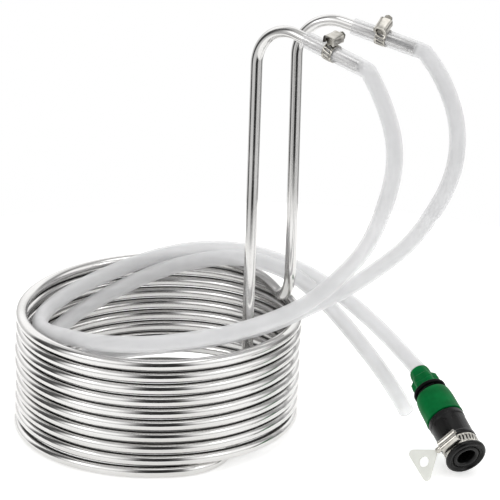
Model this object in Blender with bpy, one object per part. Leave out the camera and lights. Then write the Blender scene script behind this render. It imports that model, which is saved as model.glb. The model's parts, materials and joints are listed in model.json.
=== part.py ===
"""Immersion wort chiller: a coil of stainless tube with two risers, two hoses and a tap connector.

The tube is one length. It starts at the inlet's outlet end, comes down the inlet riser inside the
coil, runs ten turns upward round the coil and leaves up the drain riser. A hose is clamped on each
end. The inlet hose carries a quick connector with an adaptor that is clamped onto a tap.

Design frame: the coil's axis is Z at the floor, X to the side that the risers bend towards.
"""

import math

import bpy
import numpy as np
from mathutils import Matrix, Vector

MM = 0.001
CLEAR = 0.3 * MM  # between solids that touch on the real object

# --- Steel tube and coil -------------------------------------------------------------------------
TUBE_OD = 9.5 * MM
TUBE_WALL = 0.6 * MM
TUBE_SIDES = 8
COIL_RADIUS = 115 * MM  # to the tube's centreline
COIL_PITCH = 10.4 * MM
COIL_WHOLE_TURNS = 9
COIL_LEAN = 0.040  # sideways shift of the hand-wound turns, per unit of height
COIL_STEPS_PER_TURN = 20
COIL_START_ANGLE = 282.0  # where the lowest turn leaves the circle, degrees from +X
COIL_END_ANGLE = 16.0  # where the top turn leaves it
FOOT_ARC = 200.0  # stretch of the lowest turn that lies flat on the floor, degrees
TOP_TUCK = 12 * MM  # how far the top turn is drawn inwards before it rises
TOP_TUCK_ARC = 50.0

# --- Risers and their outlets ---------------------------------------------------------------------
INLET_RISER_INSET = 26.6 * MM  # from the coil's centreline circle to the inlet riser
INLET_RISER_ANGLE = -32.1
INWARD_RUN = 24.4 * MM  # straight run from the coil before the tube turns inwards
INWARD_RADIUS = 45 * MM
FOOT_RADIUS = 33 * MM  # bend from the coil up into a riser
BEND_RADIUS = 33 * MM  # bend at a riser's top
INLET_APEX = 361 * MM  # height of the centreline at the top of the bend
DRAIN_APEX = 356 * MM
INLET_LEAN = 0.031  # sideways lean of the riser, per unit of height
DRAIN_LEAN = 0.023
INLET_SWING = -39.2  # heading of the outlet, degrees from +X
DRAIN_SWING = -24.4
OUTLET_DROP = 12.7  # degrees below level
OUTLET_STRAIGHT = 63 * MM
ARC_STEP = 15.0  # degrees between the rings of a bend

# --- Hoses ----------------------------------------------------------------------------------------
HOSE_OD = 13.3 * MM
HOSE_OVERLAP = 55 * MM  # length of hose pushed over the steel tube
HOSE_SPACING = 30 * MM  # between the points of a hose's curve

# Route of the inlet hose, from the inlet riser's outlet to the tap connector, in millimetres.
INLET_ROUTE = [
    (173, -115, 337), (182, -121, 321), (189.5, -123, 302), (193, -120, 277), (191.5, -113, 255),
    (186.5, -104, 231), (179.5, -92, 205), (170, -80, 180.5), (158, -71, 163), (145, -64, 147),
    (131, -62, 133.5), (114, -66, 124.5), (96, -76, 121), (70, -93, 118.5), (39, -106, 117.5),
    (4, -116, 117), (-22, -110, 114), (-46, -96.5, 110.5), (-65.5, -74.5, 105.5),
    (-86.5, -44, 98), (-96.5, -6, 91), (-92.5, 29, 89), (-76.5, 60, 91), (-53, 82, 96.5),
    (-24, 96, 104), (6, 103, 112), (34, 102, 117), (58, 97, 119.5), (83, 85, 120),
    (104, 67, 119.5), (121, 54, 117), (136, 46, 111.5), (152, 38, 103), (170, 29, 91),
    (187, 19, 78.5), (202, 4, 67),
]

# Route of the drain hose, from the drain riser's outlet to its open end.
DRAIN_ROUTE = [
    (225, -54, 330), (236.5, -60, 313), (243, -64, 294), (245.5, -66, 274), (244.5, -65, 254),
    (240, -63, 235), (232, -60, 216), (221, -56, 197), (206, -51, 174), (191, -48, 161),
    (176, -45, 148), (158, -42, 134.5), (140, -41, 124.5), (122, -43, 116.5), (107, -50, 111.5),
    (92, -60, 109.5), (68, -75, 109.5), (39, -91, 109), (4, -99, 108.5), (-20, -95, 104),
    (-42, -85, 96), (-63, -70, 85), (-82, -46, 75), (-92, -12, 68), (-89, 24, 67),
    (-74, 58, 70.5), (-50, 80, 79), (-22, 92, 90), (7, 93, 102), (32, 88.5, 110.5),
    (56, 80, 117), (78, 70, 120.5), (97, 53, 120.5), (110, 42, 120), (122, 33, 116),
    (133, 25, 109), (149, 16, 94.5), (165, 9, 77), (181, 5, 57), (194, 4, 38.5), (204.5, 6, 20.5),
]
DRAIN_END = (212.5, 10, 3.7)
HOSE_LEAD = 4 * MM  # straight first stretch of a hose beyond the steel tube

# --- Worm-drive clamps ----------------------------------------------------------------------------
CLAMP_FROM_HOSE_END = 26 * MM
BAND_WIDTH = 9 * MM
BAND_THICKNESS = 0.7 * MM
HOUSING_WALL = 1.0 * MM
WORM_RADIUS = 3.2 * MM
RISER_HOUSING_LENGTH = 13 * MM
TAP_HOUSING_LENGTH = 17 * MM
HEAD_FLATS = 7 * MM
TAP_HEAD_FLATS = 5.4 * MM
HEAD_LENGTH = 4.5 * MM
INLET_CLAMP_ROLL = 85.0  # where the housing sits round the hose, degrees from level
DRAIN_CLAMP_ROLL = 62.0

# --- Tap connector, along its axis from the face that the hose enters -----------------------------
CONNECTOR_HEADING = -67.6
CONNECTOR_TILT = 23.3  # degrees below level
MOUTH_PLACE = (255.5 * MM, -111.5 * MM)  # centre of the mouth, seen from above
TURNED_SIDES = 20
HOSE_IN_NUT = 12 * MM
NUT_COLLAR_LENGTH = 9 * MM
NUT_COLLAR_RADIUS = 8.2 * MM
NUT_LENGTH = 22 * MM
NUT_RADIUS = 10.9 * MM
NUT_LUG = 1.1 * MM
NUT_LUGS = 6
NUT_BORE = 9.3 * MM
GRIP_SPLIT_TURN = 23.7  # where the split in the grip ring faces, degrees
RING_RADIUS = 14.0 * MM  # black stop ring of the body
RING_THICKNESS = 2.8 * MM
SLEEVE_TRAVEL = 3.2 * MM
SLEEVE_LENGTH = 27.6 * MM
SLEEVE_RADIUS = 16.1 * MM
BARREL_RADIUS = 11.0 * MM
BARREL_LENGTH = 25.8 * MM
SOCKET_DEPTH = 17.5 * MM
NIPPLE_RADIUS = 7.9 * MM
NIPPLE_BORE = 4.2 * MM
SPRING_WIRE = 1.0 * MM
SPRING_TURNS = 5
CLAW_COUNT = 3
CLAW_ARC = 30.0
CLAW_LENGTH = 2.6 * MM
CLAW_TRAVEL = 1.2 * MM  # outwards, into the sleeve's recess when the sleeve is drawn back
ADAPTOR_LENGTH = 44 * MM
ADAPTOR_RADIUS = 15.2 * MM
LIP_RADIUS = 17.3 * MM
LIP_LENGTH = 4.5 * MM
LIP_BEVEL = 1.6 * MM
SEAT_RADIUS = 14.6 * MM
STEM_LENGTH = 20 * MM
MOUTH_RADIUS = 7.3 * MM
TAP_CLAMP_ROLL = 48.0  # where the housing sits round the adaptor, degrees from its top
KEY_TURN = 8.0  # of the wing key about its screw
KEY_HEIGHT = 21.8 * MM
KEY_WIDTH = 32 * MM
KEY_THICKNESS = 1.6 * MM
KEY_HOLE_RADIUS = 4.2 * MM
KEY_HOLE_AT = 0.62  # how far along the key its hole is
KEY_CORNER = 3.6 * MM
KEY_NARROW = 2.6 * MM  # half the key's width at the screw
SAME_POINT = 0.05 * MM

TUBE_RADIUS = TUBE_OD / 2
HOSE_RADIUS = HOSE_OD / 2


# --- Scene helpers --------------------------------------------------------------------------------
def clear_scene():
    for obj in list(bpy.data.objects):
        bpy.data.objects.remove(obj, do_unlink=True)


def finish_material(name, colour, roughness, metallic=0.0):
    material = bpy.data.materials.new(name)
    material.use_nodes = True
    shader = material.node_tree.nodes["Principled BSDF"]
    shader.inputs["Base Color"].default_value = (*colour, 1)
    shader.inputs["Roughness"].default_value = roughness
    shader.inputs["Metallic"].default_value = metallic
    return material


def finishes():
    return {
        "steel": ((0.72, 0.72, 0.71), 0.12, 1.0),
        "clamp_steel": ((0.70, 0.69, 0.66), 0.25, 1.0),
        "hose": ((0.86, 0.86, 0.85), 0.40, 0.0),
        "green_plastic": ((0.0, 0.16, 0.04), 0.42, 0.0),
        "black_plastic": ((0.015, 0.015, 0.015), 0.45, 0.0),
        "rubber": ((0.02, 0.02, 0.02), 0.60, 0.0),
        "key_plastic": ((0.66, 0.67, 0.63), 0.35, 0.0),
    }


def empty(name, matrix, parent=None):
    axis = bpy.data.objects.new(name, None)
    axis.empty_display_size = 0.01
    bpy.context.scene.collection.objects.link(axis)
    axis.parent = parent
    axis.matrix_local = matrix
    return axis


def faced_outward(vertices, faces):
    """The faces, all turned over if they enclose a negative volume."""
    places = np.array(vertices, float)
    volume = 0.0
    for face in faces:
        first = places[face[0]]
        for second, third in zip(face[1:-1], face[2:]):
            volume += first @ np.cross(places[second], places[third])
    return [tuple(f) if volume > 0 else tuple(f)[::-1] for f in faces]


def solid(name, vertices, faces, finish, parent=None, place=None):
    """A mesh object of its own material, smooth except at its edges."""
    mesh = bpy.data.meshes.new(name)
    faces = faced_outward(vertices, faces)
    mesh.from_pydata([tuple(map(float, v)) for v in vertices], [], faces)
    mesh.validate()
    mesh.shade_smooth()
    mesh.set_sharp_from_angle(angle=math.radians(35))
    obj = bpy.data.objects.new(name, mesh)
    bpy.context.scene.collection.objects.link(obj)
    mesh.materials.append(finish_material(name, *finishes()[finish]))
    obj.parent = parent
    obj.matrix_local = Matrix.Identity(4) if place is None else place
    return obj


def cut(target, cutter):
    """Takes the cutter's shape out of the target."""
    cutter.hide_render = True
    cutter.display_type = "WIRE"
    modifier = target.modifiers.new("cut_" + cutter.name, "BOOLEAN")
    modifier.object = cutter
    modifier.operation = "DIFFERENCE"
    modifier.solver = "EXACT"


def frame_matrix(origin, z_axis, x_hint):
    """A placement whose Z runs along z_axis and whose X is x_hint made square to it."""
    z = Vector(z_axis).normalized()
    x = Vector(x_hint)
    x = (x - z * x.dot(z)).normalized()
    y = z.cross(x)
    rows = [[x[i], y[i], z[i], origin[i]] for i in range(3)] + [[0, 0, 0, 1]]
    return Matrix(rows)


# --- Surfaces -------------------------------------------------------------------------------------
def unit(v):
    return v / np.linalg.norm(v)


def tangents_of(points):
    steps = np.diff(points, axis=0)
    steps /= np.linalg.norm(steps, axis=1)[:, None]
    mean = np.vstack([steps[:1], steps[:-1] + steps[1:], steps[-1:]])
    return mean / np.linalg.norm(mean, axis=1)[:, None]


def carried(up, tangents):
    """The first up direction carried along the tangents with no twist."""
    ups = [up]
    for before, after in zip(tangents[:-1], tangents[1:]):
        axis = np.cross(before, after)
        size = np.linalg.norm(axis)
        if size > 1e-9:
            turn = Matrix.Rotation(math.atan2(size, before @ after), 3, Vector(axis / size))
            up = np.array(turn @ Vector(up))
        ups.append(unit(up - after * (up @ after)))
    return np.array(ups)


def bridge(rings, closed):
    """Faces between successive rings of equal size, and from the last to the first if closed."""
    count, size = rings
    faces = []
    for i in range(count if closed else count - 1):
        j = (i + 1) % count
        for k in range(size):
            m = (k + 1) % size
            faces.append((i * size + k, i * size + m, j * size + m, j * size + k))
    return faces


def tube(name, points, ups, outer, inner, finish, parent=None, sides=TUBE_SIDES):
    """A round tube, open at both ends, whose outer and inner radii reach to its corners."""
    tangents = tangents_of(points)
    sideways = np.cross(tangents, ups)
    angles = (np.arange(sides) + 0.5) * 2 * math.pi / sides
    spokes = (
        sideways[:, None] * np.cos(angles)[None, :, None]
        + ups[:, None] * np.sin(angles)[None, :, None]
    )
    outside = (points[:, None] + spokes * outer).reshape(-1, 3)
    inside = (points[:, None] + spokes * inner).reshape(-1, 3)
    count = len(points)
    outer_faces = bridge((count, sides), False)
    shift = count * sides
    inner_faces = [tuple(v + shift for v in f[::-1]) for f in outer_faces]
    ends = []
    last = (count - 1) * sides
    for k in range(sides):
        m = (k + 1) % sides
        ends.append((m, k, k + shift, m + shift))
        ends.append((last + k, last + m, last + m + shift, last + k + shift))
    faces = outer_faces + inner_faces + ends
    return solid(name, np.vstack([outside, inside]), faces, finish, parent)


def turned(name, profile, finish, parent=None, place=None, sides=TURNED_SIDES, radial=None):
    """A ring turned round Z. The profile is a closed loop of (height, radius), counterclockwise
    with height to the right. radial(angle, height, radius) may swell the radius."""
    angles = np.arange(sides) * 2 * math.pi / sides
    vertices = []
    for angle in angles:
        for height, radius in profile:
            r = radial(angle, height, radius) if radial else radius
            vertices.append((r * math.cos(angle), r * math.sin(angle), height))
    faces = bridge((sides, len(profile)), True)
    return solid(name, vertices, faces, finish, parent, place)


def extruded(name, outline, low, high, finish, parent=None, place=None):
    """A flat outline in XY, counterclockwise, raised from low to high along Z."""
    count = len(outline)
    vertices = [(x, y, low) for x, y in outline] + [(x, y, high) for x, y in outline]
    faces = [tuple(range(count))[::-1], tuple(range(count, 2 * count))]
    faces += [(k, (k + 1) % count, (k + 1) % count + count, k + count) for k in range(count)]
    return solid(name, vertices, faces, finish, parent, place)


# --- The bent tube's centreline -------------------------------------------------------------------
def coil_point(back):
    """Point of the coil, back degrees along the tube from the start of its lowest turn."""
    first_rise = TUBE_OD + CLEAR
    total = coil_degrees()
    if back < FOOT_ARC:
        rise = 0.0
    elif back < 360:
        rise = first_rise * (back - FOOT_ARC) / (360 - FOOT_ARC)
    else:
        rise = first_rise + COIL_PITCH * (back - 360) / 360
    share = min(1.0, max(0.0, 1 - (total - back) / TOP_TUCK_ARC))
    radius = COIL_RADIUS - TOP_TUCK * share * share * (3 - 2 * share)
    angle = math.radians(COIL_START_ANGLE - back)
    z = TUBE_RADIUS + rise
    return np.array([radius * math.cos(angle) + COIL_LEAN * z, radius * math.sin(angle), z])


def coil_degrees():
    return COIL_START_ANGLE - COIL_END_ANGLE + 360 * COIL_WHOLE_TURNS


def filleted(corners, radii, step=ARC_STEP):
    """A path through the corners, each inner corner rounded with its radius."""
    path = [corners[0]]
    for before, corner, after, radius in zip(corners, corners[1:], corners[2:], radii):
        a, b = unit(corner - before), unit(after - corner)
        turn = math.acos(max(-1.0, min(1.0, float(a @ b))))
        start = corner - a * radius * math.tan(turn / 2)
        inward = unit(b - a * (a @ b))
        centre = start + inward * radius
        count = max(2, math.ceil(math.degrees(turn) / step))
        for k in range(count + 1):
            t = turn * k / count
            path.append(centre - inward * radius * math.cos(t) + a * radius * math.sin(t))
    path.append(corners[-1])
    return np.array(path)


def heading(degrees, drop=0.0):
    a, d = math.radians(degrees), math.radians(drop)
    return np.array([math.cos(a) * math.cos(d), math.sin(a) * math.cos(d), -math.sin(d)])


def riser_corners(base, lean, apex, swing):
    """Corners of a riser from its base: the corner above it, and the outlet's end."""
    outlet = heading(swing, OUTLET_DROP)
    turn = math.radians(90 + OUTLET_DROP)
    reach = BEND_RADIUS * math.tan(turn / 2)
    top_z = apex - BEND_RADIUS + reach
    top = np.array([base[0] + lean * (top_z - base[2]), base[1], top_z])
    return top, top + outlet * (reach + OUTLET_STRAIGHT), outlet


def bent_tube():
    """Centreline, up directions and the outlets of the whole steel tube."""
    steps = round(coil_degrees() / 360 * COIL_STEPS_PER_TURN)
    coil = np.array([coil_point(coil_degrees() * k / steps) for k in range(steps + 1)])

    leave = math.radians(COIL_START_ANGLE)
    down_tangent = np.array([-math.sin(leave), math.cos(leave), 0.0])
    knee = coil[0] + down_tangent * INWARD_RUN
    place = math.radians(INLET_RISER_ANGLE)
    reach = COIL_RADIUS - INLET_RISER_INSET
    base = np.array([reach * math.cos(place), reach * math.sin(place), TUBE_RADIUS])
    top, end, inlet_axis = riser_corners(base, INLET_LEAN, INLET_APEX, INLET_SWING)
    lower = filleted([coil[0], knee, base, top, end], [INWARD_RADIUS, FOOT_RADIUS, BEND_RADIUS])

    leave = math.radians(COIL_END_ANGLE)
    up_tangent = np.array([math.sin(leave), -math.cos(leave), 0.0])
    base = coil[-1] + up_tangent * FOOT_RADIUS * 1.02
    top, end, drain_axis = riser_corners(base, DRAIN_LEAN, DRAIN_APEX, DRAIN_SWING)
    upper = filleted([coil[-1], base, top, end], [FOOT_RADIUS, BEND_RADIUS])

    points = np.vstack([lower[:0:-1], coil, upper[1:]])
    tangents = tangents_of(points)
    first, last = len(lower) - 1, len(lower) - 1 + len(coil) - 1
    along = tangents[first : last + 1]
    world_up = np.array([0.0, 0.0, 1.0])
    middle = world_up - along * (along @ world_up)[:, None]
    middle /= np.linalg.norm(middle, axis=1)[:, None]
    before = carried(middle[0], tangents[first::-1])[:0:-1]
    after = carried(middle[-1], tangents[last:])[1:]
    ups = np.vstack([before, middle, after])
    inlet = {"end": points[0], "axis": inlet_axis, "up": ups[0]}
    drain = {"end": points[-1], "axis": drain_axis, "up": ups[-1]}
    return points, ups, inlet, drain


# --- Hoses ----------------------------------------------------------------------------------------
def smooth_route(points, start_axis, end_axis, spacing):
    """Points at an even spacing on the cubic spline through a route, with set end directions."""
    points = np.array(points, float)
    knots = np.concatenate([[0], np.cumsum(np.linalg.norm(np.diff(points, axis=0), axis=1))])
    gaps = np.diff(knots)
    count = len(points)
    system, right = np.zeros((count, count)), np.zeros((count, 3))
    system[0, 0] = system[-1, -1] = 1
    right[0], right[-1] = start_axis, end_axis
    for i in range(1, count - 1):
        system[i, i - 1 : i + 2] = 1 / gaps[i - 1], 2 / gaps[i - 1] + 2 / gaps[i], 1 / gaps[i]
        right[i] = 3 * (
            (points[i] - points[i - 1]) / gaps[i - 1] ** 2
            + (points[i + 1] - points[i]) / gaps[i] ** 2
        )
    slopes = np.linalg.solve(system, right)

    def at(s):
        i = np.clip(np.searchsorted(knots, s, side="right") - 1, 0, count - 2)
        h = gaps[i][:, None]
        t = ((s - knots[i])[:, None]) / h
        return (
            (2 * t**3 - 3 * t**2 + 1) * points[i]
            + (t**3 - 2 * t**2 + t) * h * slopes[i]
            + (3 * t**2 - 2 * t**3) * points[i + 1]
            + (t**3 - t**2) * h * slopes[i + 1]
        )

    fine = at(np.linspace(0, knots[-1], 2000))
    walked = np.concatenate([[0], np.cumsum(np.linalg.norm(np.diff(fine, axis=0), axis=1))])
    places = np.linspace(0, walked[-1], round(walked[-1] / spacing) + 1)
    return np.array([np.interp(places, walked, fine[:, k]) for k in range(3)]).T, walked[-1]


def hose_points(outlet, route, goal, goal_axis, straight):
    """Centreline of a hose from its steel tube through a route to a goal, and on past it."""
    first = outlet["end"] + outlet["axis"] * CLEAR
    lead = first + outlet["axis"] * HOSE_LEAD
    points = [lead, *[np.array(p) * MM for p in route], goal]
    curve, length = smooth_route(points, outlet["axis"], goal_axis, HOSE_SPACING)
    return np.vstack([first, curve, goal + goal_axis * straight]), length + HOSE_LEAD + straight


def hose(name, points, parent):
    """A filled round cord along the points."""
    curve = bpy.data.curves.new(name, "CURVE")
    curve.dimensions = "3D"
    curve.bevel_depth = HOSE_RADIUS
    curve.bevel_resolution = 2
    curve.use_fill_caps = True
    spline = curve.splines.new("POLY")
    spline.points.add(len(points) - 1)
    for point, place in zip(spline.points, points):
        point.co = (*map(float, place), 1.0)
    obj = bpy.data.objects.new(name, curve)
    bpy.context.scene.collection.objects.link(obj)
    curve.materials.append(finish_material(name, *finishes()["hose"]))
    obj.parent = parent
    return obj


def hose_cuff(name, outlet, parent):
    """The end of a hose that is pushed over the steel tube."""
    start = outlet["end"] - outlet["axis"] * HOSE_OVERLAP
    points = np.array([start, outlet["end"]])
    ups = np.array([outlet["up"], outlet["up"]])
    bore = TUBE_RADIUS / math.cos(math.pi / TUBE_SIDES) + CLEAR
    tube(name, points, ups, HOSE_RADIUS, bore, "hose", parent)


# --- Worm-drive clamps ----------------------------------------------------------------------------
def clamp_sizes(inner_radius, housing_length):
    """Where a clamp's housing and worm lie, from the band's inner radius."""
    band_outer = inner_radius + BAND_THICKNESS
    floor = band_outer + CLEAR
    tunnel = WORM_RADIUS + CLEAR
    return {
        "outer": band_outer,
        "floor": floor,
        "tunnel": tunnel,
        "worm": floor + tunnel,
        "roof": floor + 2 * tunnel + HOUSING_WALL,
        "half": housing_length / 2,
    }


def clamp_band(name, inner_radius, parent):
    half = BAND_WIDTH / 2
    outer = inner_radius + BAND_THICKNESS
    profile = [(-half, inner_radius), (-half, outer), (half, outer), (half, inner_radius)]
    turned(name, profile, "clamp_steel", parent)


def clamp_housing(name, sizes, parent):
    """An arch over the worm, open towards the band. Its length runs along the frame's Y."""
    half_width = BAND_WIDTH / 2 + HOUSING_WALL
    corner = 2 * MM
    floor, roof, tunnel = sizes["floor"], sizes["roof"], sizes["tunnel"]
    outline = [(floor, -half_width), (roof - corner, -half_width), (roof, -half_width + corner)]
    outline += [(roof, half_width - corner), (roof - corner, half_width), (floor, half_width)]
    arch = [math.radians(a) for a in (90, 60, 30, 0, -30, -60, -90)]
    outline += [(floor, tunnel)]
    outline += [(sizes["worm"] + tunnel * math.cos(a), tunnel * math.sin(a)) for a in arch]
    outline += [(floor, -tunnel)]
    # The outline lies in the frame's XZ plane, so it is stood up about X before it is raised.
    stand = Matrix.Rotation(math.radians(90), 4, "X")
    half = sizes["half"]
    extruded(name, outline, -half, half, "clamp_steel", parent, stand)


def clamp_screw(name, sizes, parent, head_flats, head_length):
    """Grooved worm with a head beyond the housing. Its own Z is the turning axis."""
    half = sizes["half"]
    axis = Matrix.Translation((sizes["worm"], 0, 0)) @ Matrix.Rotation(math.radians(-90), 4, "X")
    groove, root = 2 * MM, 0.7 * WORM_RADIUS
    neck = half + CLEAR
    tip = -half + HOUSING_WALL
    profile = [(tip, 0.3 * WORM_RADIUS)]
    grooves = int((half - tip - groove) / groove)
    for k in range(grooves):
        low = tip + k * groove
        profile += [(low + 0.2 * MM, WORM_RADIUS), (low + 1.0 * MM, WORM_RADIUS)]
        profile += [(low + 1.6 * MM, root)]
    head = head_flats / 2
    profile += [(neck - 0.4 * MM, root), (neck, 0.9 * head), (neck + 0.6 * MM, head)]
    profile += [(neck + head_length, head), (neck + head_length, 0.3 * WORM_RADIUS)]
    return turned(name, profile, "clamp_steel", parent, axis, sides=12)


def riser_clamp(prefix, outlet, roll, frame):
    """Band, housing and slotted screw round the hose on an outlet."""
    centre = outlet["end"] - outlet["axis"] * (HOSE_OVERLAP - CLAMP_FROM_HOSE_END)
    level = unit(np.cross(outlet["axis"], (0, 0, 1)))
    upward = unit(np.cross(level, outlet["axis"]))
    angle = math.radians(roll)
    towards_housing = level * math.cos(angle) + upward * math.sin(angle)
    matrix = frame_matrix(centre, -outlet["axis"], towards_housing)
    axis = empty(prefix + "_clamp_frame", matrix, frame)
    inner = HOSE_RADIUS + CLEAR
    sizes = clamp_sizes(inner, RISER_HOUSING_LENGTH)
    clamp_band(prefix + "_clamp_band", inner, axis)
    clamp_housing(prefix + "_clamp_housing", sizes, axis)
    screw = clamp_screw(prefix + "_clamp_screw", sizes, axis, HEAD_FLATS, HEAD_LENGTH)
    slot_depth, slot_width = 1.6 * MM, 1.2 * MM
    end = sizes["half"] + CLEAR + HEAD_LENGTH
    w, d = slot_width / 2, HEAD_FLATS
    outline = [(-d, -w), (d, -w), (d, w), (-d, w)]
    place = screw.matrix_local.copy()
    cutter = extruded(prefix + "_slot", outline, end - slot_depth, end + slot_depth,
                      "clamp_steel", axis, place)
    cut(screw, cutter)


# --- Tap connector --------------------------------------------------------------------------------
def connector_stations():
    """Places along the connector's axis, from the face that the hose enters."""
    s = {"nut_end": NUT_LENGTH, "ring": NUT_LENGTH + 0.4 * MM}
    s["ring_end"] = s["ring"] + RING_THICKNESS
    s["sleeve"] = s["ring_end"] + SLEEVE_TRAVEL + 0.4 * MM
    s["sleeve_end"] = s["sleeve"] + SLEEVE_LENGTH
    s["barrel_end"] = s["ring_end"] + BARREL_LENGTH
    s["socket"] = s["barrel_end"] - SOCKET_DEPTH
    s["claw_end"] = s["barrel_end"] - 3 * MM
    s["claw"] = s["claw_end"] - CLAW_LENGTH
    s["adaptor"] = s["sleeve_end"] + 0.5 * MM
    s["mouth"] = s["adaptor"] + ADAPTOR_LENGTH
    s["seat"] = s["mouth"] - LIP_LENGTH - BAND_WIDTH - 1.5 * MM
    s["band"] = s["seat"] + 0.5 * MM + BAND_WIDTH / 2
    return s


def connector_matrix(stations):
    """The connector lies with the lip of its mouth on the floor."""
    axis = heading(CONNECTOR_HEADING, CONNECTOR_TILT)
    tilt = math.radians(CONNECTOR_TILT)
    lip_height = LIP_RADIUS * math.cos(tilt) - LIP_BEVEL * math.sin(tilt) + 0.1 * MM
    mouth = np.array([*MOUTH_PLACE, lip_height])
    entry = mouth - axis * stations["mouth"]
    return frame_matrix(entry, axis, (0, 0, 1)), entry, axis


def lugs(angle, height, radius):
    """Swells the nut's lugged part into rounded lugs."""
    if height <= NUT_COLLAR_LENGTH or radius < NUT_RADIUS - 0.5 * MM:
        return radius
    return radius + NUT_LUG * math.cos(NUT_LUGS * angle)


def hose_end_pieces(s, axis):
    hole = HOSE_RADIUS + CLEAR
    shoulder = NUT_COLLAR_LENGTH
    profile = [
        (0, hole), (0, NUT_COLLAR_RADIUS - 0.5 * MM), (0.5 * MM, NUT_COLLAR_RADIUS),
        (shoulder, NUT_COLLAR_RADIUS + 0.3 * MM), (shoulder + 1 * MM, NUT_RADIUS - 0.4 * MM),
        (s["nut_end"] - 1 * MM, NUT_RADIUS), (s["nut_end"], NUT_RADIUS - 0.4 * MM),
        (s["nut_end"], NUT_BORE), (shoulder + 1 * MM, NUT_BORE), (shoulder + 1 * MM, hole),
    ]
    turned("hose_nut", profile, "green_plastic", axis, sides=36, radial=lugs)

    low, high = shoulder + 1.4 * MM, shoulder + 6 * MM
    outer = NUT_BORE - CLEAR
    gap, turn = math.radians(10), math.radians(GRIP_SPLIT_TURN)
    angles = np.linspace(gap + turn, 2 * math.pi - gap + turn, TURNED_SIDES)
    outline = [(outer * math.cos(a), outer * math.sin(a)) for a in angles]
    outline += [(hole * math.cos(a), hole * math.sin(a)) for a in angles[::-1]]
    extruded("hose_grip_ring", outline, low, high, "black_plastic", axis)
    return high


def body_pieces(s, axis, grip_end):
    bore, barb = 3.2 * MM, 4.2 * MM
    thread = NUT_BORE - CLEAR
    socket = NIPPLE_RADIUS + 0.4 * MM
    tip = HOSE_IN_NUT + CLEAR
    profile = [
        (tip, bore), (tip, barb - 0.5 * MM), (tip + 1 * MM, barb), (grip_end + 0.4 * MM, barb),
        (grip_end + 0.4 * MM, thread), (s["ring"], thread), (s["ring"], RING_RADIUS - 0.5 * MM),
        (s["ring"] + 0.5 * MM, RING_RADIUS), (s["ring_end"] - 0.5 * MM, RING_RADIUS),
        (s["ring_end"], RING_RADIUS - 0.5 * MM), (s["ring_end"], BARREL_RADIUS),
        (s["barrel_end"], BARREL_RADIUS), (s["barrel_end"], socket), (s["socket"], socket),
        (s["socket"], bore),
    ]
    body = turned("connector_body", profile, "black_plastic", axis)

    for k in range(CLAW_COUNT):
        turn = Matrix.Rotation(2 * math.pi * k / CLAW_COUNT, 4, "Z")
        window = sector(socket - 1 * MM, BARREL_RADIUS + 1 * MM, CLAW_ARC + 6)
        cutter = extruded(f"claw_window_{k + 1}", window, s["claw"] - 0.4 * MM,
                          s["claw_end"] + 0.4 * MM, "black_plastic", axis, turn)
        cut(body, cutter)
        claw = sector(NIPPLE_RADIUS - CLAW_TRAVEL + 0.1 * MM, BARREL_RADIUS + 0.1 * MM, CLAW_ARC)
        extruded(f"lock_claw_{k + 1}", claw, s["claw"], s["claw_end"], "key_plastic", axis, turn)

    rear, inner = BARREL_RADIUS + 2.2 * MM, BARREL_RADIUS + 0.4 * MM
    recess = BARREL_RADIUS + 0.1 * MM + CLAW_TRAVEL + 0.7 * MM
    spring_seat = s["sleeve"] + 14 * MM
    profile = [
        (s["sleeve"], rear), (s["sleeve"], RING_RADIUS), (s["sleeve"] + 3 * MM, RING_RADIUS + 0.7 * MM),
        (s["sleeve"] + 14 * MM, SLEEVE_RADIUS - 0.6 * MM), (s["sleeve_end"] - 2 * MM, SLEEVE_RADIUS),
        (s["sleeve_end"], SLEEVE_RADIUS - 0.2 * MM), (s["sleeve_end"], recess),
        (s["claw"] + SLEEVE_TRAVEL, recess), (s["claw"], inner),
        (spring_seat, inner), (spring_seat, rear),
    ]
    turned("release_sleeve", profile, "green_plastic", axis)

    low = s["ring_end"] + CLEAR + SPRING_WIRE / 2
    high = spring_seat - SLEEVE_TRAVEL - CLEAR - SPRING_WIRE / 2
    radius = BARREL_RADIUS + 1.2 * MM
    steps = SPRING_TURNS * 10
    turns = np.linspace(0, 2 * math.pi * SPRING_TURNS, steps + 1)
    heights = np.linspace(low, high, steps + 1)
    points = np.stack([radius * np.cos(turns), radius * np.sin(turns), heights], axis=1)
    wire(points, axis)


def sector(inner, outer, arc):
    """Outline of a piece of a ring, centred on X."""
    angles = np.radians(np.linspace(-arc / 2, arc / 2, 5))
    outline = [(outer * math.cos(a), outer * math.sin(a)) for a in angles]
    return outline + [(inner * math.cos(a), inner * math.sin(a)) for a in angles[::-1]]


def wire(points, axis, sides=5):
    """The sleeve's spring: a round wire with flat ends."""
    tangents = tangents_of(points)
    outward = points * (1, 1, 0)
    outward /= np.linalg.norm(outward, axis=1)[:, None]
    outward -= tangents * np.sum(outward * tangents, axis=1)[:, None]
    across = np.cross(tangents, outward)
    angles = np.arange(sides) * 2 * math.pi / sides
    spokes = (
        outward[:, None] * np.cos(angles)[None, :, None]
        + across[:, None] * np.sin(angles)[None, :, None]
    )
    vertices = (points[:, None] + spokes * SPRING_WIRE / 2).reshape(-1, 3)
    faces = bridge((len(points), sides), False)
    last = (len(points) - 1) * sides
    faces += [tuple(range(sides))[::-1], tuple(range(last, last + sides))]
    solid("sleeve_spring", vertices, faces, "clamp_steel", axis)


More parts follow.
